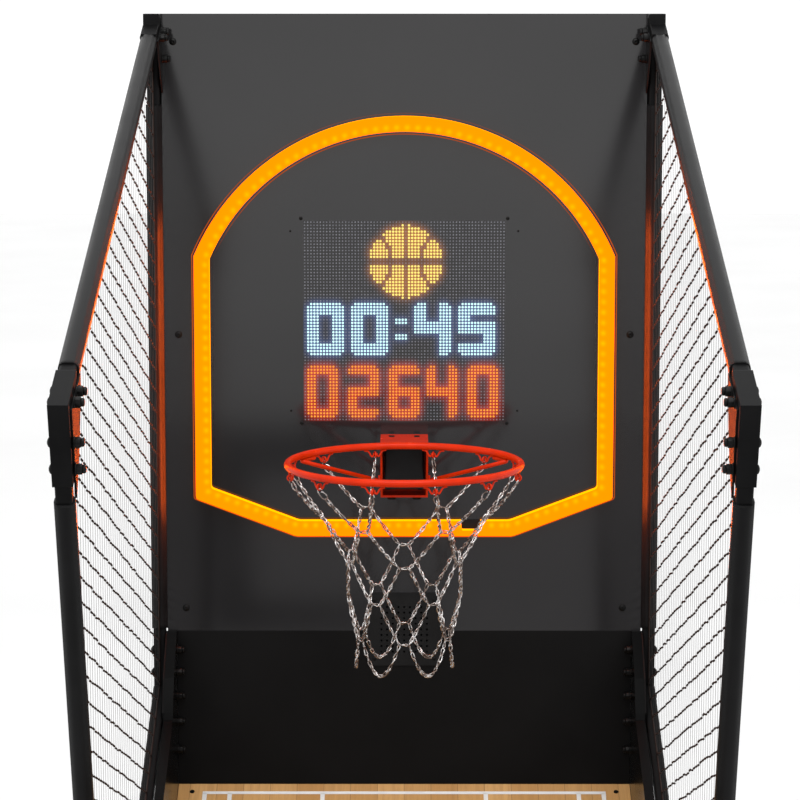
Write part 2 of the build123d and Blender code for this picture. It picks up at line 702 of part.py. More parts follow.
# ---- start button ----
BEZEL_R = 32.0
BUTTON_TRAVEL = 4.0
with BuildPart() as button_bezel:
    with BuildSketch(Plane.XZ.offset(-FRONT_Y)):
        with Locations((0, BUTTON_Z)):
            Circle(BEZEL_R)
            Circle(BUTTON_R + 0.5, mode=Mode.SUBTRACT)
    extrude(amount=4.0)
    with BuildSketch(Plane.XZ.offset(-FRONT_Y)):
        with Locations((0, BUTTON_Z)):
            Circle(FRONT_HOLE_R)
            Circle(BUTTON_R + 0.5, mode=Mode.SUBTRACT)
    extrude(amount=-34.0)
save(button_bezel.part, "button_bezel")

with BuildPart() as start_button:
    with BuildSketch(Plane.XZ.offset(-FRONT_Y - 9.0)):
        with Locations((0, BUTTON_Z)):
            Circle(BUTTON_R)
    extrude(amount=-34.0)
    fillet(start_button.faces().sort_by(Axis.Y)[0].edges(), 3.0)
save(start_button.part, "start_button")

# ---- levelling feet ----
FOOT_PAD_R = 26.0
FOOT_PAD = 14.0
for name, sx, sy in (
    ("rear_left", -1, 1), ("rear_right", 1, 1), ("front_left", -1, -1), ("front_right", 1, -1),
):
    with BuildPart() as foot:
        with BuildSketch(Plane.XY):
            with Locations((sx * FOOT_X, sy * FOOT_Y)):
                Circle(FOOT_PAD_R)
        extrude(amount=FOOT_PAD)
        with BuildSketch(Plane.XY.offset(FOOT_PAD)):
            with Locations((sx * FOOT_X, sy * FOOT_Y)):
                Circle(5.0)
        extrude(amount=BASE_Z + BOARD - FOOT_PAD)
        with BuildSketch(Plane.XY.offset(BASE_Z - 9.0)):
            with Locations((sx * FOOT_X, sy * FOOT_Y)):
                RegularPolygon(10, 6)
        extrude(amount=8.5)
    save(foot.part, f"{name}_foot")

# ---- electrics inside the rear cover ----
INSIDE_Y = REAR_Y - COVER_T
with BuildPart() as power_inlet:
    with BuildSketch(Plane.XZ.offset(-REAR_Y)):
        with Locations((INLET_X, INLET_Z)):
            Rectangle(60, 48)
    extrude(amount=30.0)
    with BuildSketch(Plane.XZ.offset(-REAR_Y)):
        with Locations((INLET_X - 12, INLET_Z)):
            Rectangle(24, 17)
    extrude(amount=18.0, mode=Mode.SUBTRACT)
    with BuildSketch(Plane.XZ.offset(-REAR_Y)):
        with Locations((INLET_X + 17, INLET_Z)):
            Rectangle(15, 21)
    extrude(amount=14.0, mode=Mode.SUBTRACT)
save(power_inlet.part, "power_inlet")

ROCKER_Y = REAR_Y - 6.0
with BuildPart() as power_rocker:
    with BuildSketch(Plane.YZ.offset(INLET_X + 17 - 7)):
        with Locations((ROCKER_Y, INLET_Z)):
            Circle(7.4)
            with Locations((10, 0)):
                Rectangle(12, 20, mode=Mode.SUBTRACT)
    extrude(amount=14.0)
save(power_rocker.part, "power_rocker")

with BuildPart() as power_supply:
    with BuildSketch(Plane.XZ.offset(-INSIDE_Y)):
        with Locations((120, 420)):
            Rectangle(215, 115)
    extrude(amount=42.0)
save(power_supply.part, "power_supply")

with BuildPart() as control_board:
    with BuildSketch(Plane.XZ.offset(-(INSIDE_Y - 8))):
        with Locations((-160, 430)):
            Rectangle(200, 140)
    extrude(amount=1.6)
    with BuildSketch(Plane.XZ.offset(-(INSIDE_Y - 9.6))):
        with Locations((-200, 440)):
            Rectangle(40, 40)
        with Locations((-110, 470)):
            Rectangle(60, 20)
        with Locations((-110, 400)):
            Rectangle(26, 50)
    extrude(amount=12.0)
    with BuildSketch(Plane.XZ.offset(-INSIDE_Y)):
        with Locations((-160, 430)):
            with GridLocations(185, 125, 2, 2):
                Circle(3)
    extrude(amount=8.0)
save(control_board.part, "control_board")
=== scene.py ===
"""Looks of the basketball hoop machine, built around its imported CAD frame. Metres, +Z up."""
import json
import math
import random

import bpy
import numpy as np
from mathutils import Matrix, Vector

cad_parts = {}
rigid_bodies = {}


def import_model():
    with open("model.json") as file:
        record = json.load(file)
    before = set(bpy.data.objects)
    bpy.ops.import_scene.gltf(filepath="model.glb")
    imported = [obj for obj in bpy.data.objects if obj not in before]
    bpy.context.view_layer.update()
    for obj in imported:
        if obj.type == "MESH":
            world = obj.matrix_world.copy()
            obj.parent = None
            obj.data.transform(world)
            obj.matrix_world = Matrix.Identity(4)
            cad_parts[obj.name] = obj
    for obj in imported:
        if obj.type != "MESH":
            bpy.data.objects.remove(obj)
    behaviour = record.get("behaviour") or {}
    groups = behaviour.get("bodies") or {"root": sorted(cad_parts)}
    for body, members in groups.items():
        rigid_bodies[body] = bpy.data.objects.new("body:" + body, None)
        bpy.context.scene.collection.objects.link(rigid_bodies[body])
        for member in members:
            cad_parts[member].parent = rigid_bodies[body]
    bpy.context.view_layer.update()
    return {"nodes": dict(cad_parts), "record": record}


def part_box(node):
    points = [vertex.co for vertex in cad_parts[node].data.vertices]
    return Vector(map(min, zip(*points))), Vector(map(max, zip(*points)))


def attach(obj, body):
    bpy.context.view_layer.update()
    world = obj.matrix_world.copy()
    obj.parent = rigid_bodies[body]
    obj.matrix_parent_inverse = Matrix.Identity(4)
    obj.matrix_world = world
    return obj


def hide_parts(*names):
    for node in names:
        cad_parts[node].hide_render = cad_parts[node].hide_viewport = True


for leftover in list(bpy.data.objects):
    bpy.data.objects.remove(leftover)

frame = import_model()
nodes = frame["nodes"]
rng = random.Random(7)
scene = bpy.context.scene
scene.view_settings.view_transform = "Standard"

# ---- places taken from the frame ----
ring_lo, ring_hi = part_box("hoop_ring")
HOOP = (ring_lo + ring_hi) / 2
ROD_R = (ring_hi.z - ring_lo.z) / 2
HOOP_R = (ring_hi.x - ring_lo.x) / 2 - ROD_R
panel_lo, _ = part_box("back_panel")
PANEL_Y = panel_lo.y
display_lo, display_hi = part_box("display_module")
outline_lo, outline_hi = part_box("led_diffuser")
CABINET = "cabinet"


# ---- camera ----
LENS = 129.8                # millimetres, on a 36 mm sensor
CAMERA_DISTANCE = 5.458     # from the back panel
CAMERA_RISE = 0.841         # above the hoop
CAMERA_TILT = 8.06          # degrees down
CAMERA_TURN = 0.085         # degrees to the left


def make_camera():
    """Level with the top of the panel, looking a little down at the hoop."""
    data = bpy.data.cameras.new("camera")
    data.lens = LENS
    data.sensor_width = 36.0
    data.clip_end = 100.0
    camera = bpy.data.objects.new("camera", data)
    scene.collection.objects.link(camera)
    camera.location = (0.0, PANEL_Y - CAMERA_DISTANCE, HOOP.z + CAMERA_RISE)
    camera.rotation_euler = (math.radians(90 - CAMERA_TILT), 0.0, math.radians(CAMERA_TURN))
    scene.camera = camera


make_camera()


# ---- node helpers ----
def node_tree(name):
    mat = bpy.data.materials.new(name)
    mat.use_nodes = True
    tree = mat.node_tree
    tree.nodes.clear()
    out = tree.nodes.new("ShaderNodeOutputMaterial")
    return mat, tree, out


def set_inputs(node, values):
    for name, value in values.items():
        node.inputs[name].default_value = value


def object_coords(tree, scale=(1.0, 1.0, 1.0)):
    coords = tree.nodes.new("ShaderNodeTexCoord")
    mapping = tree.nodes.new("ShaderNodeMapping")
    mapping.inputs["Scale"].default_value = scale
    tree.links.new(coords.outputs["Object"], mapping.inputs["Vector"])
    return mapping.outputs["Vector"]


def noise(tree, vector, scale, detail=4.0, roughness=0.55):
    tex = tree.nodes.new("ShaderNodeTexNoise")
    set_inputs(tex, {"Scale": scale, "Detail": detail, "Roughness": roughness})
    tree.links.new(vector, tex.inputs["Vector"])
    return tex.outputs["Fac"]


def spread(tree, value, low, high, start=0.3, end=0.7):
    """Maps a 0 to 1 texture onto low to high."""
    ranger = tree.nodes.new("ShaderNodeMapRange")
    set_inputs(ranger, {"From Min": start, "From Max": end, "To Min": low, "To Max": high})
    tree.links.new(value, ranger.inputs["Value"])
    return ranger.outputs["Result"]


def mix_colour(tree, factor, first, second):
    mix = tree.nodes.new("ShaderNodeMix")
    mix.data_type = "RGBA"
    a, b = [s for s in mix.inputs if s.type == "RGBA"]
    for socket, value in ((a, first), (b, second)):
        if isinstance(value, tuple):
            socket.default_value = (*value, 1.0)
        else:
            tree.links.new(value, socket)
    f = [s for s in mix.inputs if s.type == "VALUE"][0]
    if isinstance(factor, float):
        f.default_value = factor
    else:
        tree.links.new(factor, f)
    return [s for s in mix.outputs if s.type == "RGBA"][0]


def bump(tree, height, strength, distance=0.001, edge=0.0):
    """Bump normal; edge is the radius its corners are shaded as if rounded to, in metres."""
    b = tree.nodes.new("ShaderNodeBump")
    if edge:
        rounded = tree.nodes.new("ShaderNodeBevel")
        rounded.samples = 6
        rounded.inputs["Radius"].default_value = edge
        tree.links.new(rounded.outputs["Normal"], b.inputs["Normal"])
    b.inputs["Strength"].default_value = strength
    b.inputs["Distance"].default_value = distance
    tree.links.new(height, b.inputs["Height"])
    return b.outputs["Normal"]


MATERIALS = {}


def coated(name, dark, light, rough, grain, grain_bump, blotch=6.0, metallic=0.0, specular=0.5,
           coat=0.0, coat_rough=0.05, stretch=(1.0, 1.0, 1.0), ior=1.5, edge=0.0):
    """A surface with fine grain in its bump, and slow drifts in colour and roughness. It joins
    MATERIALS under its name."""
    mat, tree, out = node_tree(name)
    shader = tree.nodes.new("ShaderNodeBsdfPrincipled")
    vector = object_coords(tree, stretch)
    slow = noise(tree, vector, blotch)
    fine = noise(tree, vector, grain, detail=3.0)
    colour = mix_colour(tree, spread(tree, slow, 0.0, 1.0), dark, light)
    tree.links.new(colour, shader.inputs["Base Color"])
    tree.links.new(spread(tree, slow, rough[0], rough[1]), shader.inputs["Roughness"])
    tree.links.new(bump(tree, fine, grain_bump, edge=edge), shader.inputs["Normal"])
    set_inputs(shader, {"Metallic": metallic, "Specular IOR Level": specular, "IOR": ior,
                        "Coat Weight": coat, "Coat Roughness": coat_rough})
    tree.links.new(shader.outputs[0], out.inputs["Surface"])
    MATERIALS[name] = mat
    return mat


# ---- materials ----
coated("black_steel", (0.0035, 0.0035, 0.0037), (0.0065, 0.0065, 0.0068), (0.36, 0.50), 900.0,
       0.20, blotch=9.0, specular=0.05, edge=0.003)
coated("sleeve_plastic", (0.0036, 0.0036, 0.0038), (0.0062, 0.0062, 0.0066), (0.28, 0.36), 650.0,
       0.08, blotch=14.0, specular=0.085, edge=0.011)
coated("black_fastener", (0.003, 0.003, 0.003), (0.006, 0.006, 0.006), (0.30, 0.42), 1400.0, 0.12,
       blotch=60.0, specular=0.10)
coated("hoop_paint", (0.47, 0.0165, 0.0004), (0.56, 0.0215, 0.0006), (0.20, 0.28), 500.0, 0.03,
       blotch=25.0, specular=0.11)
coated("smoked_acrylic", (0.0045, 0.0043, 0.0045), (0.0062, 0.0059, 0.0062), (0.085, 0.12), 60.0,
       0.003, blotch=2.2)
coated("cabinet_board", (0.0022, 0.0021, 0.0022), (0.0040, 0.0038, 0.0039), (0.46, 0.60), 1100.0,
       0.12, blotch=5.0, specular=0.10)
coated("gloss_laminate", (0.0025, 0.0025, 0.0026), (0.0045, 0.0045, 0.0045), (0.16, 0.24), 90.0,
       0.01, blotch=4.0, specular=0.25, ior=1.22)
coated("black_plastic", (0.0042, 0.0042, 0.0045), (0.0070, 0.0070, 0.0072), (0.42, 0.55), 1500.0,
       0.15, blotch=30.0, specular=0.15)
coated("display_black", (0.010, 0.010, 0.011), (0.018, 0.018, 0.02), (0.5, 0.65), 800.0, 0.1)
coated("button_orange", (0.80, 0.14, 0.008), (0.88, 0.20, 0.012), (0.14, 0.22), 500.0, 0.03,
       blotch=40.0, coat=0.3)
coated("foot_rubber", (0.012, 0.012, 0.012), (0.024, 0.023, 0.022), (0.65, 0.82), 900.0, 0.3,
       blotch=50.0)
coated("bare_steel", (0.42, 0.42, 0.43), (0.58, 0.58, 0.59), (0.28, 0.42), 300.0, 0.12,
       blotch=25.0, metallic=1.0, stretch=(1.0, 1.0, 12.0))
coated("circuit_green", (0.010, 0.10, 0.035), (0.02, 0.16, 0.06), (0.35, 0.5), 700.0, 0.1,
       blotch=120.0)
coated("net_cord", (0.010, 0.0045, 0.003), (0.022, 0.010, 0.007), (0.55, 0.75), 2500.0, 0.35,
       blotch=120.0, specular=0.2)
coated("net_thread", (0.040, 0.037, 0.036), (0.065, 0.061, 0.059), (0.5, 0.7), 2500.0, 0.3,
       blotch=120.0, specular=0.2)


def chain_steel():
    """Zinc-plated links: bright, with darker brown patches laid at random as painted shade, for
    links that lie in shadow.
    """
    mat, tree, out = node_tree("chain_steel")
    shader = tree.nodes.new("ShaderNodeBsdfPrincipled")
    vector = object_coords(tree)
    patch = noise(tree, vector, 90.0, detail=3.0)
    fine = noise(tree, vector, 1400.0)
    colour = mix_colour(tree, spread(tree, patch, 0.0, 1.0, 0.42, 0.60),
                        (0.15, 0.115, 0.098), (0.66, 0.64, 0.63))
    tree.links.new(colour, shader.inputs["Base Color"])
    tree.links.new(spread(tree, patch, 0.32, 0.16), shader.inputs["Roughness"])
    tree.links.new(bump(tree, fine, 0.15), shader.inputs["Normal"])
    shader.inputs["Metallic"].default_value = 1.0
    tree.links.new(shader.outputs[0], out.inputs["Surface"])
    return mat


MATERIALS["chain_steel"] = chain_steel()


# ---- mesh helpers ----
def add_mesh(name, verts, faces, material, body=CABINET, smooth=True):
    mesh = bpy.data.meshes.new(name)
    mesh.from_pydata([tuple(v) for v in verts], [], [tuple(f) for f in faces])
    mesh.update()
    mesh.materials.append(material)
    mesh.polygons.foreach_set("use_smooth", [smooth] * len(mesh.polygons))
    piece = bpy.data.objects.new(name, mesh)
    scene.collection.objects.link(piece)
    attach(piece, body)
    return piece


class Pile:
    """Gathers many small shapes into one mesh."""

    def __init__(self):
        self.verts = []
        self.faces = []

    def add(self, verts, faces):
        base = len(self.verts)
        self.verts.extend(verts)
        self.faces.extend([tuple(base + i for i in f) for f in faces])

    def build(self, name, material, body=CABINET, smooth=True):
        return add_mesh(name, self.verts, self.faces, material, body, smooth)


def tube(rings, closed=False):
    """Skin over rings of points, capped at both ends unless the last ring joins the first."""
    count, sides = len(rings), len(rings[0])
    faces = []
    for i in range(count if closed else count - 1):
        j = (i + 1) % count
        for k in range(sides):
            n = (k + 1) % sides
            faces.append((i * sides + k, i * sides + n, j * sides + n, j * sides + k))
    if not closed:
        faces += [tuple(reversed(range(sides))), tuple(range((count - 1) * sides, count * sides))]
    return [p for ring in rings for p in ring], faces


def ring_points(centre, side, up, radius, steps):
    """Points of a circle in the plane of side and up."""
    turns = [2 * math.pi * k / steps for k in range(steps)]
    return [centre + (side * math.cos(t) + up * math.sin(t)) * radius for t in turns]


def wire(points, radius, sides=8, closed=False):
    """A round wire along points."""
    pts = [Vector(p) for p in points]
    last = len(pts) - 1
    rings = []
    side = None
    for i, p in enumerate(pts):
        if closed:
            ahead = pts[(i + 1) % len(pts)] - pts[i - 1]
        else:
            ahead = pts[min(i + 1, last)] - pts[max(i - 1, 0)]
        ahead.normalize()
        if side is None:
            side = ahead.orthogonal().normalized()
        side = (side - ahead * side.dot(ahead)).normalized()
        rings.append(ring_points(p, side, ahead.cross(side), radius, sides))
    return tube(rings, closed)


def round_off(points, rounds=2):
    """Cuts the corners of a run of points, so that a wire along it bends smoothly."""
    for _ in range(rounds):
        smoother = [points[0]]
        for a, b in zip(points, points[1:]):
            smoother += [a.lerp(b, 0.25), a.lerp(b, 0.75)]
        points = smoother + [points[-1]]
    return points


def turned(profile, centre, axis, steps=20):
    """A turned solid: profile is (radius, distance along the axis), from one end to the other."""
    axis = Vector(axis).normalized()
    side = axis.orthogonal().normalized()
    up = axis.cross(side)
    return tube([ring_points(Vector(centre) + axis * reach, side, up, radius, steps)
                 for radius, reach in profile])


def solids_of(node):
    """(lowest, highest) corner of each separate solid in a CAD node."""
    mesh = nodes[node].data
    parent = list(range(len(mesh.vertices)))

    def root(i):
        while parent[i] != i:
            parent[i] = parent[parent[i]]
            i = parent[i]
        return i

    place = {}
    for v in mesh.vertices:
        key = tuple(round(c, 5) for c in v.co)
        parent[v.index] = place.setdefault(key, v.index)
    for e in mesh.edges:
        a, b = root(e.vertices[0]), root(e.vertices[1])
        if a != b:
            parent[a] = b
    groups = {}
    for v in mesh.vertices:
        groups.setdefault(root(v.index), []).append(v.co)
    boxes = []
    for members in groups.values():
        co = np.array(members)
        boxes.append((Vector(co.min(0)), Vector(co.max(0))))
    return boxes


# ---- CAD nodes take their finishes ----
def repaint(node, finish):
    nodes[node].data.materials.clear()
    nodes[node].data.materials.append(finish)


for part in frame["record"]["subparts"]:
    if part["material_slot"] in MATERIALS:
        repaint(part["node"], MATERIALS[part["material_slot"]])


# ---- chain net ----
LINK_PITCH = 0.0094
LINK_LENGTH = 0.0124
LINK_WIDTH = 0.0054
LINK_WIRE = 0.00112
NET_ROWS = ((-0.101, 0.143), (-0.169, 0.112), (-0.239, 0.1015), (-0.312, 0.0906))
NET_BOTTOM = (-0.372, 0.087)
NODE_HALF = 0.0085
HOOKS = 12
HOOK_EYE_Z = -0.0215


def link_loop(length, width, twist, steps=12):
    """Centre line of one link, lying along X, its ends rolled against each other."""
    straight = (length - width) / 2
    points = []
    for k in range(steps):
        turn = 2 * math.pi * (k + 0.5) / steps
        x = math.cos(turn) * width / 2 + math.copysign(straight, math.cos(turn))
        y = math.sin(turn) * width / 2
        roll = twist * x / length
        points.append(Vector((x, y * math.cos(roll), y * math.sin(roll))))
    return points


def hang(a, b, sag):
    """Point on a strand from a to b, as a function of the share of its length."""
    def at(t):
        p = a.lerp(b, t)
        return p - Vector((0, 0, sag * 4 * t * (1 - t)))
    return at


def lay_links(pile, path, length, first_roll, pitch=LINK_PITCH):
    count = max(1, round(length / pitch))
    roll = first_roll
    for i in range(count):
        t0, t1 = i / count, (i + 1) / count
        a, b = path(t0), path(t1)
        along = (b - a).normalized()
        side = along.cross(Vector((0, 0, 1)))
        if side.length < 0.1:
            side = along.cross(Vector((1, 0, 0)))
        side.normalize()
        up = along.cross(side)
        angle = roll + rng.uniform(-0.45, 0.45)
        y_axis = side * math.cos(angle) + up * math.sin(angle)
        z_axis = along.cross(y_axis)
        centre = (a + b) / 2 + side * rng.uniform(-0.0006, 0.0006)
        size = 1.0 + rng.uniform(-0.03, 0.03)
        loop = link_loop(LINK_LENGTH * size, LINK_WIDTH * size, 1.2)
        points = [centre + along * p.x + y_axis * p.y + z_axis * p.z for p in loop]
        pile.add(*wire(points, LINK_WIRE, sides=6, closed=True))
        roll += math.pi / 2


def on_net(degrees, z, radius, shift=0.0):
    """A point of the net: degrees from the front, and a shift along the ring."""
    turn = math.radians(degrees)
    out = Vector((math.sin(turn), -math.cos(turn), 0))
    tangent = Vector((math.cos(turn), math.sin(turn), 0))
    return HOOP + out * radius + tangent * shift + Vector((0, 0, z))


def pear_hook(top, low):
    """Open wire hook, pear-shaped, that hangs a strand from its eye on the ring."""
    along = (low - top).normalized()
    side = along.cross(Vector((rng.uniform(-1, 1), rng.uniform(-1, 1), 0.2))).normalized()
    length = (low - top).length
    shape = ((0.10, 0.22), (-0.06, 0.14), (-0.10, -0.04), (0.06, -0.20), (0.34, -0.22),
             (0.66, -0.26), (0.94, -0.16), (1.04, 0.02), (0.94, 0.18), (0.66, 0.26), (0.36, 0.16),
             (0.22, 0.04))
    points = [top + along * (a * length) + side * (b * length) for a, b in shape]
    return wire(round_off(points, 1), 0.00125, sides=7)


def chain_net():
    pile = Pile()
    step = 360 / (HOOKS / 2)

    def strand(a, b, sag=0.003):
        path = hang(a, b, sag)
        lay_links(pile, path, (b - a).length + sag * 2, rng.uniform(0, 3.1))

    for k in range(HOOKS // 2):
        base = 30 + step * k
        z, r = NET_ROWS[0]
        for side in (-1, 1):
            hook = on_net(base + side * 15, HOOK_EYE_Z, HOOP_R)
            knot_end = on_net(base, z, r, side * NODE_HALF)
            low = hook.lerp(knot_end, 0.17) - Vector((0, 0, 0.004))
            pile.add(*pear_hook(hook, low))
            strand(low, knot_end)
        for row in range(len(NET_ROWS)):
            z, r = NET_ROWS[row]
            here = base if row % 2 == 0 else base - 30
            wobble = rng.uniform(-0.0015, 0.0015)
            left = on_net(here, z + wobble, r, -NODE_HALF)
            right = on_net(here, z - wobble, r, NODE_HALF)
            lay_links(pile, hang(left, right, 0.0012), 2 * NODE_HALF, 0.6, pitch=2 * NODE_HALF)
            if row + 1 < len(NET_ROWS):
                nz, nr = NET_ROWS[row + 1]
                strand(left, on_net(here - 30, nz, nr, NODE_HALF))
                strand(right, on_net(here + 30, nz, nr, -NODE_HALF))
        z, r = NET_ROWS[-1]
        here = base - 30
        bz, br = NET_BOTTOM
        a = on_net(here, z, r, NODE_HALF)
        c = on_net(here + step, z, r, -NODE_HALF)
        low = on_net(here + 30, bz, br)
        control = low * 2 - (a + c) / 2

        def loop(t, a=a, c=c, control=control):
            return a * (1 - t) ** 2 + control * 2 * t * (1 - t) + c * t * t

        length = sum((loop((i + 1) / 20) - loop(i / 20)).length for i in range(20))
        lay_links(pile, loop, length, rng.uniform(0, 3.1))
    piece = pile.build("chain_net_links", MATERIALS["chain_steel"])
    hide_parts("chain_net")


chain_net()


# ---- net hooks under the ring ----
HOOK_WIRE_R = 0.0017
HOOK_EYE_R = 0.0052


def net_hooks():
    """Each hook is a wire under the ring: it dips between two flat arms, and ends in an eye."""
    pile = Pile()
    arm = ((-0.021, 0.0), (-0.0165, -0.0002), (-0.0135, -0.0012), (-0.0110, -0.0045),
           (-0.0090, -0.0085), (-0.0068, -0.0112), (-0.0045, -0.0110), (-0.0030, -0.0085),
           (-0.0030, -0.0050))
    for k in range(HOOKS):
        degrees = 15 + 30 * k
        for side in (-1, 1):
            points = [on_net(degrees, -ROD_R - 0.0012 + dz, HOOP_R - 0.001, side * dx)
                      for dx, dz in arm]
            pile.add(*wire(round_off(points), HOOK_WIRE_R, sides=7))
        centre = on_net(degrees, -ROD_R - 0.0095, HOOP_R)
        out = (on_net(degrees, 0, 1.0) - on_net(degrees, 0, 0.0)).normalized()
        eye = ring_points(centre, out, Vector((0, 0, 1)), HOOK_EYE_R, 14)
        pile.add(*wire(eye, HOOK_WIRE_R, sides=7, closed=True))
    piece = pile.build("net_hook_wires", MATERIALS["hoop_paint"])
    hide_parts("net_hooks")


net_hooks()


def hoop_braces():
    """A bent tube on each side: along the ring, turned back on itself, down to the bracket."""
    _, bracket_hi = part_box("hoop_bracket")
    radius = 0.0038
    drop = -ROD_R - radius + 0.0006
    pile = Pile()
    for side in (-1, 1):
        def under_ring(turn, reach=0.0, z=drop):
            angle, out = math.radians(turn), HOOP_R + reach
            return HOOP + Vector((side * math.cos(angle) * out, math.sin(angle) * out, z))

        low = Vector((side * (bracket_hi.x + radius + 0.0004), PANEL_Y - 0.068, HOOP.z - 0.076))
        path = [under_ring(38), under_ring(33), under_ring(28.5, 0.001), under_ring(25.5, -0.002),
                under_ring(27.5, -0.011, drop - 0.003), under_ring(31.0, -0.021, drop - 0.008)]
        pile.add(*wire(round_off(path + [low], 2), radius, sides=12))
        pile.add(*turned(((0.0095, 0.0), (0.0100, 0.0008), (0.0100, 0.0030), (0.0090, 0.0042),
                          (0.0001, 0.0046)), (side * bracket_hi.x, low.y, low.z), (side, 0, 0)))
    piece = pile.build("hoop_braces_bent", MATERIALS["hoop_paint"])
    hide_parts("hoop_braces")


hoop_braces()


# ---- glowing outline of a backboard ----
def emission(name, colour, strength):
    """An even glow with slow faint clouds in it."""
    mat, tree, out = node_tree(name)
    shader = tree.nodes.new("ShaderNodeEmission")
    shader.inputs["Color"].default_value = (*colour, 1.0)
    cloud = noise(tree, object_coords(tree), 55.0)
    tree.links.new(spread(tree, cloud, strength * 0.9, strength * 1.04), shader.inputs["Strength"])
    tree.links.new(shader.outputs[0], out.inputs["Surface"])
    return mat


FACE_OUTER = 0.0039       # lit face, as insets from the backboard outline
FACE_INNER = 0.0330
LAMP_INSET = 0.0250
LAMP_PITCH = 0.0198
CORNER_ROUND = 0.0055
NOTCH = (0.109, 0.146, 0.0182)     # left, right, depth of the gap in the foot of the outline
OUTLINE_FOOT = HOOP.z - 0.1965
OUTLINE_FOOT_HALF = 0.208
OUTLINE_ELBOW = HOOP.z - 0.123
OUTLINE_SHOULDER = HOOP.z + 0.346
OUTLINE_CROWN = outline_hi.z + 0.0042


def bent_corner(before, corner, after, reach):
    """Five points that round a corner off, starting and ending reach away from it."""
    a = corner + (before - corner).normalized() * reach
    b = corner + (after - corner).normalized() * reach
    return [a * (1 - t) ** 2 + corner * 2 * t * (1 - t) + b * t * t
            for t in (0.0, 0.25, 0.5, 0.75, 1.0)]


def outline_points(inset):
    """The backboard outline, moved inwards: flat foot, slanted corners, upright sides, crown."""
    half = outline_hi.x
    rise = OUTLINE_CROWN - OUTLINE_SHOULDER
    radius = (half * half + rise * rise) / (2 * rise)
    middle = OUTLINE_CROWN - radius
    slant = math.atan2(OUTLINE_ELBOW - OUTLINE_FOOT, half - OUTLINE_FOOT_HALF)
    inner_half = half - inset
    inner_foot_half = OUTLINE_FOOT_HALF - inset * math.tan(slant / 2)
    inner_elbow = OUTLINE_ELBOW + inset * math.tan((math.pi / 2 - slant) / 2)
    inner_radius = radius - inset
    inner_shoulder = middle + math.sqrt(inner_radius ** 2 - inner_half ** 2)
    start = math.atan2(inner_shoulder - middle, inner_half)
    foot_right = Vector((inner_foot_half, OUTLINE_FOOT + inset))
    elbow_right = Vector((inner_half, inner_elbow))
    shoulder_right = Vector((inner_half, inner_shoulder))
    foot_left, elbow_left, shoulder_left = (
        Vector((-p.x, p.y)) for p in (foot_right, elbow_right, shoulder_right))
    points = bent_corner(foot_left, foot_right, elbow_right, CORNER_ROUND)
    points += bent_corner(foot_right, elbow_right, shoulder_right, CORNER_ROUND)
    points.append(shoulder_right)
    steps = 56
    for i in range(1, steps):
        turn = start + (math.pi - 2 * start) * i / steps
        points.append(Vector((inner_radius * math.cos(turn),
                              middle + inner_radius * math.sin(turn))))
    points.append(shoulder_left)
    points += bent_corner(shoulder_left, elbow_left, foot_left, CORNER_ROUND)
    points += bent_corner(elbow_left, foot_left, foot_right, CORNER_ROUND)
    return points


def band_columns(outer, inner):
    """Pairs of points across the band, close together, with the notch cut into its foot."""
    start, end = outline_points(outer), outline_points(inner)
    count = len(start)
    left, right, depth = NOTCH
    columns = []
    for k in range(count):
        n = (k + 1) % count
        in_foot = k == count - 1
        parts = max(1, round((start[n] - start[k]).length / (0.0012 if in_foot else 0.0035)))
        for i in range(parts):
            p, q = start[k].lerp(start[n], i / parts), end[k].lerp(end[n], i / parts)
            if in_foot and inner > 0.02:
                edge = min(q.x - left, right - q.x)
                if edge > 0:
                    curve = min(edge / 0.004, 1.0)
                    q.y -= depth - 0.004 * (1 - math.sqrt(1 - (1 - curve) ** 2))
            columns.append((p, q))
    return columns


def skin(name, rows, material, glow=None):
    """Joins rows of points, each (x, z, distance in front of the panel), round the outline."""
    depth, total = len(rows[0]), len(rows)
    verts = [(x, PANEL_Y - reach, z) for row in rows for x, z, reach in row]
    faces = []
    for i in range(total):
        j = (i + 1) % total
        for r in range(depth - 1):
            a, b = i * depth + r, j * depth + r
            faces.append((a, b, b + 1, a + 1))
    piece = add_mesh(name, verts, faces, material, smooth=False)
    if glow is not None:
        attribute = piece.data.attributes.new("lamp_glow", "FLOAT", "POINT")
        attribute.data.foreach_set("value", glow)
    return piece


def clouded_glow(tree, vector, scale, low):
    """The mesh's own lamp_glow, dimmed in slow clouds down to low."""
    attribute = tree.nodes.new("ShaderNodeAttribute")
    attribute.attribute_name = "lamp_glow"
    product = tree.nodes.new("ShaderNodeMath")
    product.operation = "MULTIPLY"
    tree.links.new(attribute.outputs["Fac"], product.inputs[0])
    tree.links.new(spread(tree, noise(tree, vector, scale), low, 1.0), product.inputs[1])
    return product.outputs[0]


def lit_face():
    """Translucent front: brighter than white in red, so that it reflects as orange-red."""
    mat, tree, out = node_tree("lit_diffuser")
    shader = tree.nodes.new("ShaderNodeBsdfPrincipled")
    vector = object_coords(tree)
    glow = clouded_glow(tree, vector, 40.0, 0.75)
    colour = mix_colour(tree, glow, (1.0, 0.108, 0.0), (1.0, 0.175, 0.0))
    set_inputs(shader, {"Base Color": (0.10, 0.03, 0.0, 1.0), "Roughness": 0.45,
                        "Specular IOR Level": 0.0, "Emission Strength": 3.0})
    tree.links.new(bump(tree, noise(tree, vector, 900.0), 0.03), shader.inputs["Normal"])
    tree.links.new(colour, shader.inputs["Emission Color"])
    tree.links.new(shader.outputs[0], out.inputs["Surface"])
    return mat


def lamp_places(inset):
    outline = outline_points(inset)
    lamps = []
    carry = 0.0
    for k in range(len(outline)):
        a, b = outline[k], outline[(k + 1) % len(outline)]
        length = (b - a).length
        while carry < length:
            lamps.append(a.lerp(b, carry / length))
            carry += LAMP_PITCH
        carry -= length
    return lamps


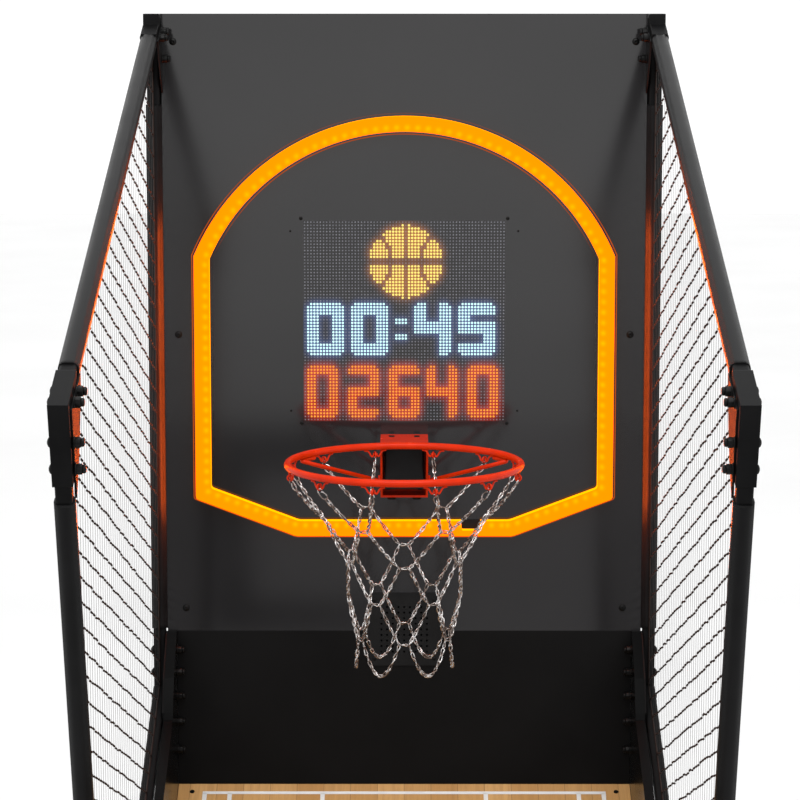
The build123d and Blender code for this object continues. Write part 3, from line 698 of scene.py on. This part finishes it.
def outline_line(name, inset, width, share, material):
    """Thin painted reflection of the band's wall, glowing on the panel beside the band; share says
    where round the outline it shows.
    """
    a, b = outline_points(inset), outline_points(inset + width)
    rows = [((p.x, p.y, 0.0007), (q.x, q.y, 0.0007)) for p, q in zip(a, b)]
    glow = [share(p) for p, q in zip(a, b) for _ in (0, 1)]
    return skin(name, rows, material, glow)


def painted_edge_reflection():
    """Painted reflection of the band's wall in the panel, as a glow round the edge of the diffuser;
    clear where there is none.
    """
    mat, tree, out = node_tree("diffuser_edge")
    shine = tree.nodes.new("ShaderNodeEmission")
    shine.inputs["Color"].default_value = (0.62, 0.090, 0.004, 1.0)
    clear = tree.nodes.new("ShaderNodeBsdfTransparent")
    mix = tree.nodes.new("ShaderNodeMixShader")
    tree.links.new(clouded_glow(tree, object_coords(tree), 30.0, 0.7), mix.inputs[0])
    tree.links.new(clear.outputs[0], mix.inputs[1])
    tree.links.new(shine.outputs[0], mix.inputs[2])
    tree.links.new(mix.outputs[0], out.inputs["Surface"])
    return mat


def glowing_outline():
    height = outline_hi.y - outline_lo.y
    lamps = lamp_places(LAMP_INSET)
    columns = band_columns(FACE_OUTER, FACE_INNER)
    across = 13
    rows, glow = [], []
    for p, q in columns:
        row = []
        for r in range(across):
            s = p.lerp(q, r / (across - 1))
            row.append((s.x, s.y, height))
            near = min((lamp - s).length for lamp in lamps)
            glow.append(math.exp(-((near / 0.0050) ** 2)))
        rows.append(row)
    face = skin("outline_face", rows, lit_face(), glow)
    walls = emission("diffuser_wall", (1.0, 0.30, 0.0), 2.6)
    foot = 0.0005
    skin("outline_inner_wall", [((q.x, q.y, height), (q.x, q.y, foot)) for _, q in columns], walls)
    skin("outline_outer_wall", [((p.x, p.y, foot), (p.x, p.y, height)) for p, _ in columns], walls)
    edge = painted_edge_reflection()

    def climb(p):
        """0 at the shoulder and below, 1 at the crown."""
        return max((p.y - OUTLINE_SHOULDER) / (outline_hi.z - OUTLINE_SHOULDER), 0.0)

    def low(p):
        return 1.0 - min(climb(p), 1.0) * 0.85

    def high(p):
        return min(climb(p) * 1.6, 0.75)

    # Painted reflection of the band's walls in the panel: a glowing line outside the band at its
    # foot and sides, and inside it at the crown.
    outline_line("outline_edge", -0.0018, 0.0019, low, edge)
    outline_line("outline_inner_edge", FACE_INNER + 0.0042, 0.0019, high, edge)
    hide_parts("led_diffuser")


def notch_cover():
    """Dark pad that hides the lamps where the foot of the outline is cut away."""
    strip_lo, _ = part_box("led_strip")
    left, right, depth = NOTCH
    top = outline_lo.z + FACE_INNER - 0.0004
    foot = top - depth + 0.0010
    cut = 0.0022
    shape = ((left + 0.0008, top), (left + 0.0008, foot + cut), (left + 0.0008 + cut, foot),
             (right - 0.0008 - cut, foot), (right - 0.0008, foot + cut), (right - 0.0008, top))
    front = strip_lo.y - 0.0012
    verts = [(x, front, z) for x, z in shape] + [(x, PANEL_Y - 0.0002, z) for x, z in shape]
    count = len(shape)
    faces = [tuple(range(count)), tuple(reversed(range(count, 2 * count)))]
    faces += [(i, i + count, (i + 1) % count + count, (i + 1) % count) for i in range(count)]
    piece = add_mesh("outline_notch_cover", verts, faces, MATERIALS["black_plastic"], smooth=False)


glowing_outline()
notch_cover()
repaint("led_strip", emission("lamp_strip", (1.0, 0.5, 0.05), 1.0))


# ---- dot matrix display ----
DOTS = 64
LIT_DOT = 0.41            # radii of the dots, as shares of their pitch
RED_DOT = 0.35
UNLIT_DOT = 0.25
DIGITS = {
    "0": "abcdef", "1": "bc", "2": "abged", "3": "abgcd", "4": "fgbc",
    "5": "afgcd", "6": "afgedc", "7": "abc", "8": "abcdefg", "9": "abfgcd",
}


def paint_digit(dots, digit, left, top, width, height, stroke, colour):
    """Draws a rounded seven-bar numeral into the grid of dots."""
    half = height // 2
    bars = {
        "a": (0, 0, width, stroke), "d": (0, height - stroke, width, height),
        "g": (0, half - stroke // 2, width, half - stroke // 2 + stroke),
        "f": (0, 0, stroke, half + 1), "b": (width - stroke, 0, width, half + 1),
        "e": (0, half - 1, stroke, height), "c": (width - stroke, half - 1, width, height),
    }
    for bar in DIGITS[digit]:
        x0, y0, x1, y1 = bars[bar]
        for x in range(x0, x1):
            for y in range(y0, y1):
                corner = x in (0, width - 1) and y in (0, height - 1)
                if not corner:
                    dots[(left + x, top + y)] = colour


def paint_ball(dots, cx, cy, radius, colour):
    """A ball with its seams left unlit."""
    for x in range(DOTS):
        for y in range(DOTS):
            dx, dy = x - cx, y - cy
            if dx * dx + dy * dy > radius * radius:
                continue
            seam = abs(dx) < 0.7 or abs(dy) < 0.7
            for side in (-1, 1):
                curve = math.hypot(dx - side * radius * 1.35, dy) - radius * 0.95
                seam = seam or abs(curve) < 0.6
            if not seam:
                dots[(x, y)] = colour


def dot_display():
    """A ball over a clock and a score; each lit dot has its own colour and that of its halo, a
    painted glow laid over the unlit dots and the display between them.
    """
    # Each pair: the dot's own glow, and the painted halo glow it spreads over its neighbours.
    white = ((0.68, 1.0, 1.0), (0.045, 0.095, 0.27))
    amber = ((1.0, 0.80, 0.21), (0.42, 0.12, 0.010))
    red = ((1.0, 0.36, 0.045), (0.60, 0.026, 0.006))
    lit = {}
    paint_ball(lit, 32, 12.5, 11.6, amber)
    for i, digit in enumerate("0045"):
        paint_digit(lit, digit, 1 + i * 14 + (6 if i > 1 else 0), 26, 12, 17, 4, white)
    for x in range(29, 33):
        for y in (31, 32, 36, 37):
            lit[(x, y)] = white
    for i, digit in enumerate("02640"):
        paint_digit(lit, digit, 1 + i * 13 - (i > 2), 46, 10, 17, 3, red)
    dots = {place: colours[0] for place, colours in lit.items()}
    halo = np.zeros((DOTS, DOTS, 3))
    for (x, y), colours in lit.items():
        if 0 <= x < DOTS and 0 <= y < DOTS:
            halo[x, y] = colours[1]
    pitch = (display_hi.x - display_lo.x) / DOTS
    for _ in range(3):
        padded = np.pad(halo, ((1, 1), (1, 1), (0, 0)))
        halo = (padded[:-2, 1:-1] + padded[2:, 1:-1] + padded[1:-1, :-2] + padded[1:-1, 2:]
                + 2 * padded[1:-1, 1:-1]) / 6
    verts, faces, colours = [], [], []
    for x in range(DOTS):
        for y in range(DOTS):
            on = (x, y) in dots
            if on:
                radius = pitch * (RED_DOT if dots[(x, y)] == red[0] else LIT_DOT)
            else:
                radius = pitch * UNLIT_DOT
            cx = display_lo.x + (x + 0.5) * pitch
            cz = display_hi.z - (y + 0.5) * pitch
            base = len(verts)
            # Unlit dots glow a dim grey, a painted sheen, plus painted halo glow from lit dots near
            # them.
            unlit_painted_sheen = rng.uniform(0.11, 0.18)
            shade = dots[(x, y)] if on else np.array((unlit_painted_sheen, unlit_painted_sheen, unlit_painted_sheen * 1.12)) + halo[x, y] * 0.6
            for k in range(6):
                turn = math.pi * (k + 0.5) / 3
                verts.append((cx + radius * math.cos(turn), PANEL_Y - 0.0006,
                              cz + radius * math.sin(turn)))
                colours.append((*shade, 1.0))
            faces.append(tuple(range(base, base + 6)))
    dot_glow = coloured_glow("display_dots", 1.22)
    carry_colours(add_mesh("display_dots", verts, faces, dot_glow, smooth=False), colours)

    # A see-through sheet over the display carries the painted halo glow.
    verts, faces, colours = [], [], []
    for x in range(DOTS + 1):
        for y in range(DOTS + 1):
            verts.append((display_lo.x + x * pitch, PANEL_Y - 0.0003, display_hi.z - y * pitch))
            near = halo[max(0, x - 1):x + 1, max(0, y - 1):y + 1].mean(axis=(0, 1))
            colours.append((*(near * 1.05), 1.0))
    for x in range(DOTS):
        for y in range(DOTS):
            a = x * (DOTS + 1) + y
            faces.append((a, a + 1, a + DOTS + 2, a + DOTS + 1))
    halo_glow = coloured_glow("display_halo", 1.0, see_through=True)
    carry_colours(add_mesh("display_halo", verts, faces, halo_glow), colours)


def carry_colours(piece, colours):
    """Gives each point of a display piece its own colour."""
    attribute = piece.data.attributes.new("dot_colour", "FLOAT_COLOR", "POINT")
    attribute.data.foreach_set("color", np.array(colours, dtype=np.float32).ravel())


def coloured_glow(name, strength, see_through=False):
    """Glow taken from each point's own colour, laid over what is behind it if see_through."""
    mat, tree, out = node_tree(name)
    attribute = tree.nodes.new("ShaderNodeAttribute")
    attribute.attribute_name = "dot_colour"
    shader = tree.nodes.new("ShaderNodeEmission")
    cloud = noise(tree, object_coords(tree), 260.0)
    tree.links.new(spread(tree, cloud, strength * 0.86, strength * 1.06), shader.inputs["Strength"])
    tree.links.new(attribute.outputs["Color"], shader.inputs["Color"])
    glow = shader
    if see_through:
        clear = tree.nodes.new("ShaderNodeBsdfTransparent")
        glow = tree.nodes.new("ShaderNodeAddShader")
        tree.links.new(shader.outputs[0], glow.inputs[0])
        tree.links.new(clear.outputs[0], glow.inputs[1])
    tree.links.new(glow.outputs[0], out.inputs["Surface"])
    return mat


dot_display()


# ---- side nets ----
KNOT_ROW = 0.0352
KNOT_COLUMN = 0.033
NET_THREAD_R = 0.00034
NET_CORD_R = 0.00032
BINDING_HALF = 0.0082     # half the length of the thick binding at each knot
BINDING_R = 0.00205


ROWS_ABOVE = 0.40         # rows start this far over the net, as they fall towards the back


def net_outline(node):
    """The four corners of a side net, as (y, z), from its flat CAD sheet."""
    points = {(round(v.co.y, 4), round(v.co.z, 4)) for v in nodes[node].data.vertices}
    points = [Vector(p) for p in points]
    middle = sum(points, Vector((0, 0))) / len(points)
    points.sort(key=lambda p: math.atan2(p.y - middle.y, p.x - middle.x))
    return points


def inside(point, outline):
    """Whether a point lies in the outline, which runs anticlockwise and has no hollow corner."""
    for a, b in zip(outline, outline[1:] + outline[:1]):
        if (b - a).cross(Vector(point) - a) < 0:
            return False
    return True


def clipped(a, b, outline):
    """The part of the line from a to b that lies in the outline, or None."""
    start, end = 0.0, 1.0
    a, b = Vector(a), Vector(b)
    for p, q in zip(outline, outline[1:] + outline[:1]):
        at_a, at_b = (q - p).cross(a - p), (q - p).cross(b - p)
        if at_a < 0 and at_b < 0:
            return None
        if at_a < 0:
            start = max(start, at_a / (at_a - at_b))
        elif at_b < 0:
            end = min(end, at_a / (at_a - at_b))
    return (a.lerp(b, start), a.lerp(b, end)) if start < end else None


def row_fall(z):
    """Fall towards the back of a row that starts at height z: more the lower it is."""
    return 0.27 + 0.096 * (2.5 - z)


def binding(centre, along):
    """Where two cords are bound together: a short thick stretch, pinched in its middle."""
    across = Vector((1, 0, 0))
    up = across.cross(along).normalized()
    profile = ((-1.0, 0.35), (-0.82, 0.92), (-0.3, 1.0), (0.0, 0.80), (0.3, 1.0), (0.82, 0.92),
               (1.0, 0.35))
    return tube([ring_points(centre + along * (reach * BINDING_HALF), across, up,
                             share * BINDING_R, 5) for reach, share in profile])


def side_net(node):
    """Rows of bound cord falling towards the back, hung on fine upright threads."""
    outline = net_outline(node)
    lo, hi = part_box(node)
    x = (lo.x + hi.x) / 2
    columns = [lo.y + (j + 0.4) * KNOT_COLUMN for j in range(int((hi.y - lo.y) / KNOT_COLUMN) + 1)]
    cords, threads = Pile(), Pile()

    def run(pile, a, b, radius, sides):
        part = clipped(a, b, outline)
        if part:
            pile.add(*wire([(x, *part[0]), (x, *part[1])], radius, sides=sides))

    start = hi.z + ROWS_ABOVE
    while start > lo.z - 0.02:
        fall = row_fall(start)
        spots = []
        for y in [columns[0] - KNOT_COLUMN] + columns + [columns[-1] + KNOT_COLUMN]:
            step = rng.uniform(-0.0016, 0.0016)
            spots.append(Vector((y + rng.uniform(-0.0008, 0.0008),
                                 start - (y - lo.y) * fall + step)))
        for a, b in zip(spots, spots[1:]):
            run(cords, a, b, NET_CORD_R, 4)
            along = Vector((0, b.x - a.x, b.y - a.y)).normalized()
            if inside(a, outline):
                cords.add(*binding(Vector((x, a.x, a.y)), along))
        start -= KNOT_ROW + rng.uniform(-0.0006, 0.0006)
    for y in columns:
        lean = rng.uniform(-0.0012, 0.0012)
        run(threads, (y - lean, lo.z - 0.01), (y + lean, hi.z + 0.01), NET_THREAD_R, 4)
    for a, b in zip(outline, outline[1:] + outline[:1]):
        cords.add(*wire([(x, *a), (x, *b)], 0.0016, sides=6))
    piece = cords.build(node + "_cords", MATERIALS["net_cord"])
    thread_piece = threads.build(node + "_threads", MATERIALS["net_thread"])
    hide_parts(node)


side_net("left_side_net")
side_net("right_side_net")


# ---- fasteners ----
def dome(pile, base, axis, radius, height, recess):
    """Button head with a hexagon recess, standing on base."""
    profile = [(radius, 0.0), (radius, height * 0.12)]
    for i in range(1, 7):
        turn = math.pi / 2 * i / 6
        profile.append((max(recess, radius * math.cos(turn)),
                        height * (0.12 + 0.88 * math.sin(turn))))
    profile += [(recess * 0.96, height * 0.95), (recess * 0.9, height * 0.5),
                (0.0001, height * 0.45)]
    pile.add(*turned(profile, base, axis, steps=24))


def fasteners():
    pile = Pile()
    for lo, hi in solids_of("frame_bolts"):
        side = 1 if lo.x > 0 else -1
        face = lo.x if side > 0 else hi.x
        centre = Vector((face, (lo.y + hi.y) / 2, (lo.z + hi.z) / 2))
        pile.add(*turned(((0.0084, 0.0), (0.0086, 0.0004), (0.0086, 0.0011), (0.0082, 0.0013)),
                         centre, (side, 0, 0)))
        dome(pile, centre + Vector((side * 0.0012, 0, 0)), (side, 0, 0), 0.0070, 0.0036, 0.0026)
    piece = pile.build("frame_bolt_heads", MATERIALS["black_fastener"])
    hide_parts("frame_bolts")

    pile = Pile()
    for lo, hi in solids_of("frame_nuts"):
        side = 1 if lo.x > 0 else -1
        face = hi.x if side > 0 else lo.x
        centre = Vector((face, (lo.y + hi.y) / 2, (lo.z + hi.z) / 2))
        inward = (-side, 0, 0)
        pile.add(*turned(((0.0086, 0.0), (0.0088, 0.0004), (0.0088, 0.0014), (0.0080, 0.0018)),
                         centre, inward))
        flats = rng.uniform(0, 1)
        pile.add(*hex_nut(centre, inward, 0.0080, 0.0018, 0.0096, flats))
        pile.add(*turned(((0.0061, 0.0094), (0.0061, 0.0128), (0.0056, 0.0142), (0.0042, 0.0150),
                          (0.0004, 0.0152)), centre, inward))
    piece = pile.build("frame_nut_caps", MATERIALS["black_fastener"])
    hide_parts("frame_nuts")

    for node in ("panel_screws", "small_screws"):
        pile = Pile()
        for lo, hi in solids_of(node):
            radius = (hi.x - lo.x) / 2
            centre = Vector(((lo.x + hi.x) / 2, hi.y, (lo.z + hi.z) / 2))
            dome(pile, centre, (0, -1, 0), radius, (hi.y - lo.y), radius * 0.36)
        piece = pile.build(node + "_heads", MATERIALS["black_fastener"])
        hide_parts(node)


SLOT_X = 0.024              # slots in the top of the hoop's bracket: middle, and size of the dark pads that paint shade in them
SLOT_DEPTH = 0.024
SLOT_SHADE_HALF = 0.0053
SLOT_SHADE_REACH = 0.0070
SLOT_SHADE_SUNK = 0.0004
SLOT_SHADE_THICK = 0.0018


def bracket_pads():
    """Black pads in the two slots in the top of the hoop's bracket, a little below its face, put in
    as painted shade for the dark inside of the slots.
    """
    pile = Pile()
    plate_top = max(v.co.z for v in nodes["hoop_bracket"].data.vertices
                    if v.co.y < PANEL_Y - 0.030 and abs(v.co.x) < 0.035)
    foot = plate_top - SLOT_SHADE_SUNK - SLOT_SHADE_THICK
    for side in (-1, 1):
        centre = Vector((side * SLOT_X, PANEL_Y - SLOT_DEPTH, foot))
        ring = []
        for k in range(24):
            turn = 2 * math.pi * (k + 0.5) / 24
            shift = math.copysign(SLOT_SHADE_REACH, math.sin(turn))
            ring.append(centre + Vector((SLOT_SHADE_HALF * math.cos(turn),
                                         SLOT_SHADE_HALF * math.sin(turn) + shift, 0)))
        pile.add(*tube([ring, [p + Vector((0, 0, SLOT_SHADE_THICK)) for p in ring]]))
    pile.build("bracket_pads", MATERIALS["black_plastic"], smooth=False)


def hex_nut(centre, axis, radius, start, end, flats):
    """Six-sided nut with its corners turned down at both ends."""
    axis = Vector(axis).normalized()
    side = axis.orthogonal().normalized()
    up = axis.cross(side)
    sixth = math.pi / 3
    rings = []
    for reach, share in ((start, 0.93), (start + 0.0007, 1.0), (end - 0.0009, 1.0), (end, 0.92)):
        ring = []
        for k in range(24):
            turn = 2 * math.pi * k / 24
            flat = radius * math.cos(sixth / 2) / math.cos(turn % sixth - sixth / 2)
            out = side * math.cos(turn + flats) + up * math.sin(turn + flats)
            ring.append(centre + axis * reach + out * min(flat, radius * share))
        rings.append(ring)
    return tube(rings)


fasteners()
bracket_pads()


# ---- court ----
PLANK = 0.052
PLANK_LENGTH = 0.62
PLANK_GAP = 0.0006


def court_wood():
    """Maple strips laid down the slope, each a little different, under a satin varnish."""
    mat, tree, out = node_tree("court_wood")
    shader = tree.nodes.new("ShaderNodeBsdfPrincipled")
    coords = tree.nodes.new("ShaderNodeTexCoord")
    turn = tree.nodes.new("ShaderNodeMapping")
    turn.inputs["Rotation"].default_value = (0, 0, math.radians(90))
    tree.links.new(coords.outputs["Object"], turn.inputs["Vector"])
    bricks = tree.nodes.new("ShaderNodeTexBrick")
    bricks.offset = 0.37
    set_inputs(bricks, {
        "Scale": 1.0, "Brick Width": PLANK_LENGTH, "Row Height": PLANK,
        "Mortar Size": PLANK_GAP, "Mortar Smooth": 0.4, "Color1": (0.60, 0.345, 0.135, 1.0),
        "Color2": (0.46, 0.240, 0.082, 1.0), "Mortar": (0.20, 0.10, 0.04, 1.0),
    })
    tree.links.new(turn.outputs[0], bricks.inputs["Vector"])
    grain_vector = object_coords(tree, (46.0, 2.2, 2.2))
    grain = noise(tree, grain_vector, 3.0, detail=8.0, roughness=0.62)
    pores = noise(tree, object_coords(tree, (260.0, 9.0, 9.0)), 3.0, detail=4.0)
    shaded = mix_colour(tree, spread(tree, grain, 0.0, 0.55, 0.40, 0.72),
                        bricks.outputs["Color"], (0.34, 0.17, 0.055))
    final = mix_colour(tree, spread(tree, pores, 0.0, 0.22, 0.52, 0.70), shaded, (0.30, 0.15, 0.05))
    tree.links.new(final, shader.inputs["Base Color"])
    tree.links.new(spread(tree, grain, 0.30, 0.46), shader.inputs["Roughness"])
    tree.links.new(bump(tree, pores, 0.08), shader.inputs["Normal"])
    set_inputs(shader, {"Coat Weight": 0.25, "Coat Roughness": 0.2})
    tree.links.new(shader.outputs[0], out.inputs["Surface"])
    return mat


wood = court_wood()
for node_name in ("playfield", "ball_tray"):
    repaint(node_name, wood)

line_paint = coated("line_paint", (0.66, 0.65, 0.64), (0.76, 0.75, 0.73), (0.38, 0.5), 700.0, 0.08,
                    blotch=30.0)


def court_lines():
    """White lines painted on the court: border, lane and arcs."""
    _, court_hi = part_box("playfield")
    top = [v.co for v in nodes["playfield"].data.vertices]
    rear = max(top, key=lambda p: p.z)
    front = min(top, key=lambda p: (round(p.y, 4), -p.z))
    down = (Vector((0, front.y, front.z)) - Vector((0, rear.y, rear.z)))
    length = down.length
    down.normalize()
    normal = Vector((1, 0, 0)).cross(down)
    if normal.z < 0:
        normal = -normal
    origin = Vector((0, rear.y, rear.z)) + normal * 0.0004
    width = 0.0085
    verts, faces = [], []

    def place(x, s):
        return origin + Vector((x, 0, 0)) + down * s

    def ribbon(points):
        base = len(verts)
        for i, p in enumerate(points):
            a = Vector(points[max(i - 1, 0)])
            b = Vector(points[min(i + 1, len(points) - 1)])
            ahead = (b - a).normalized()
            side = Vector((-ahead.y, ahead.x)) * width / 2
            for sign in (-1, 1):
                verts.append(place(p[0] + side.x * sign, p[1] + side.y * sign))
        for i in range(len(points) - 1):
            k = base + i * 2
            faces.append((k, k + 1, k + 3, k + 2))

    half = court_hi.x - 0.052
    near, far = 0.028, length - 0.06
    lane, lane_end = 0.158, 0.62
    ribbon([(-half - width / 2, near), (half + width / 2, near)])
    ribbon([(-half - width / 2, far), (half + width / 2, far)])
    for side in (-1, 1):
        ribbon([(side * half, near), (side * half, far)])
        ribbon([(side * lane, near), (side * lane, lane_end)])
    ribbon([(-lane - width / 2, lane_end), (lane + width / 2, lane_end)])
    ribbon([(lane * math.cos(math.pi * i / 32), lane_end + lane * math.sin(math.pi * i / 32))
            for i in range(33)])
    arc = half - 0.0485
    ribbon([(-arc, near), (-arc, 0.35)])
    ribbon([(arc, near), (arc, 0.35)])
    ribbon([(arc * math.cos(math.pi * i / 48), 0.35 + (0.98 - 0.35) * math.sin(math.pi * i / 48))
            for i in range(49)])
    piece = add_mesh("court_lines", verts, faces, line_paint, smooth=False)


court_lines()


# ---- lights and surroundings ----
def area_light(name, place, aim, size, size_y, power, colour=(1, 1, 1), seen=False, glossy=True):
    data = bpy.data.lights.new(name, "AREA")
    data.shape = "RECTANGLE"
    data.size = size
    data.size_y = size_y
    data.energy = power
    data.color = colour
    lamp = bpy.data.objects.new(name, data)
    scene.collection.objects.link(lamp)
    lamp.location = place
    lamp.rotation_mode = "QUATERNION"
    lamp.rotation_quaternion = Vector(aim).to_track_quat("-Z", "Y")
    lamp.visible_camera = seen
    lamp.visible_glossy = glossy
    return lamp


def surroundings():
    world = bpy.data.worlds.new("studio")
    world.use_nodes = True
    background = world.node_tree.nodes["Background"]
    background.inputs["Color"].default_value = (1.0, 1.0, 1.0, 1.0)
    background.inputs["Strength"].default_value = 1.12
    scene.world = world
    bpy.ops.mesh.primitive_plane_add(size=60.0, location=(0, 0, 0))
    floor = bpy.context.active_object
    floor.name = "floor"
    floor.data.materials.append(coated("floor", (0.86, 0.86, 0.86), (0.90, 0.90, 0.90),
                                       (0.6, 0.7), 40.0, 0.02, blotch=0.6, specular=0.2))
    area_light("overhead", (0.0, -1.2, 4.2), (0.0, 0.45, -1.0), 2.4, 1.6, 70.0)
    area_light("front_left", (-3.2, -3.6, 3.2), (0.75, 1.0, -0.35), 1.6, 2.2, 16.0)
    area_light("front_right", (3.2, -3.6, 3.2), (-0.75, 1.0, -0.35), 1.6, 2.2, 16.0)


GLOW = (1.0, 0.115, 0.008)
FRAME_PIECES = (
    "back_sleeve", "diagonal_sleeve", "front_sleeve", "gusset_plates", "knee_bracket",
    "top_bracket", "back_post", "diagonal_tube", "front_post", "frame_nut",
)
HOOP_AND_NETS = ("hoop_ring", "hoop_braces", "side_net")


def named(parts):
    return [o for o in bpy.data.objects if o.type == "MESH" and any(p in o.name for p in parts)]


def only_on(lamp, name, pieces):
    """Keeps a light to these pieces."""
    group = bpy.data.collections.new(name)
    for piece in pieces:
        group.objects.link(piece)
    lamp.light_linking.receiver_collection = group


def outline_glow():
    """Light that the glowing outline throws on the side frames and the hoop."""
    height = 0.60
    middle = HOOP.z + 0.12
    face = outline_lo.y - 0.002
    wall = PANEL_Y - 0.012
    edge = outline_hi.x
    before_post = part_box("left_back_sleeve")[0].y - 0.030
    frames = named(FRAME_PIECES)
    near = frames + named(HOOP_AND_NETS)
    lamps = []
    for side in (-1, 1):
        for name, pieces, inset, y, aim, width, tall, power in (
            ("glow_side", near, 0.002, wall, (side, 0, 0), 0.022, height, 1.1),
            ("glow_front", near, 0.018, face, (0, -1, 0), 0.030, height, 1.0),
            ("glow_reach", frames, 0.05, face, (side * 0.5, -1, 0), 0.10, height, 7.0),
            ("glow_edge", frames, 0.01, before_post, (side, 0.3, 0), 0.030, height * 0.9, 6.0),
        ):
            place = (side * (edge - inset), y, middle)
            lamps.append((pieces, area_light(name, place, aim, width, tall, power, GLOW)))
    crown = area_light("glow_crown", (0, face, HOOP.z + 0.57), (0, -1, 0), 0.55, 0.04, 0.5, GLOW)
    lamps.append((near, crown))
    for i, (pieces, lamp) in enumerate(lamps):
        only_on(lamp, "lit_by_outline_%d" % i, pieces)


def panel_reflections():
    """A soft box behind the viewer, seen in the glossy panel, and dark cards that cut into it."""
    panel = [o for o in bpy.data.objects if o.name.startswith("back_panel")]
    wide = area_light("panel_fill", (0.3, -7.0, 3.1), (0, 1, 0), 8.0, 4.0, 24.0)
    right = area_light("panel_fill_right", (2.2, -7.0, 3.1), (0, 1, 0), 4.0, 4.0, 30.0)
    slant = area_light("panel_slant", (1.25, -1.3, 2.3), (-0.9, 1.0, -0.2), 0.5, 0.9, 110.0,
                       glossy=False)
    slant.data.use_shadow = False
    for i, lamp in enumerate((wide, right, slant)):
        only_on(lamp, "panel_only_%d" % i, panel)
    black = coated("card", (0.001, 0.001, 0.001), (0.002, 0.002, 0.002), (0.9, 1.0), 40.0, 0.01)
    grey = emission("grey_card", (1.0, 0.97, 0.98), 0.60)
    for name, material, y, x0, x1, z0, z1 in (
        ("card_grey", grey, -2.02, -1.1, 1.1, 0.30, 1.40),
        ("card_upper", black, -2.0, -0.54, -0.12, 1.262, 1.395),
        ("card_upright", black, -2.0, -0.555, -0.445, 0.78, 1.40),
        ("card_lower", black, -2.0, -0.54, 0.10, 0.775, 0.875),
    ):
        mesh = bpy.data.meshes.new(name)
        mesh.from_pydata([(x0, y, z0), (x1, y, z0), (x1, y, z1), (x0, y, z1)], [], [(0, 1, 2, 3)])
        mesh.materials.append(material)
        card = bpy.data.objects.new(name, mesh)
        scene.collection.objects.link(card)
        card.visible_camera = False
        card.visible_diffuse = False
        card.visible_shadow = False
        card.visible_transmission = False


surroundings()
outline_glow()
panel_reflections()
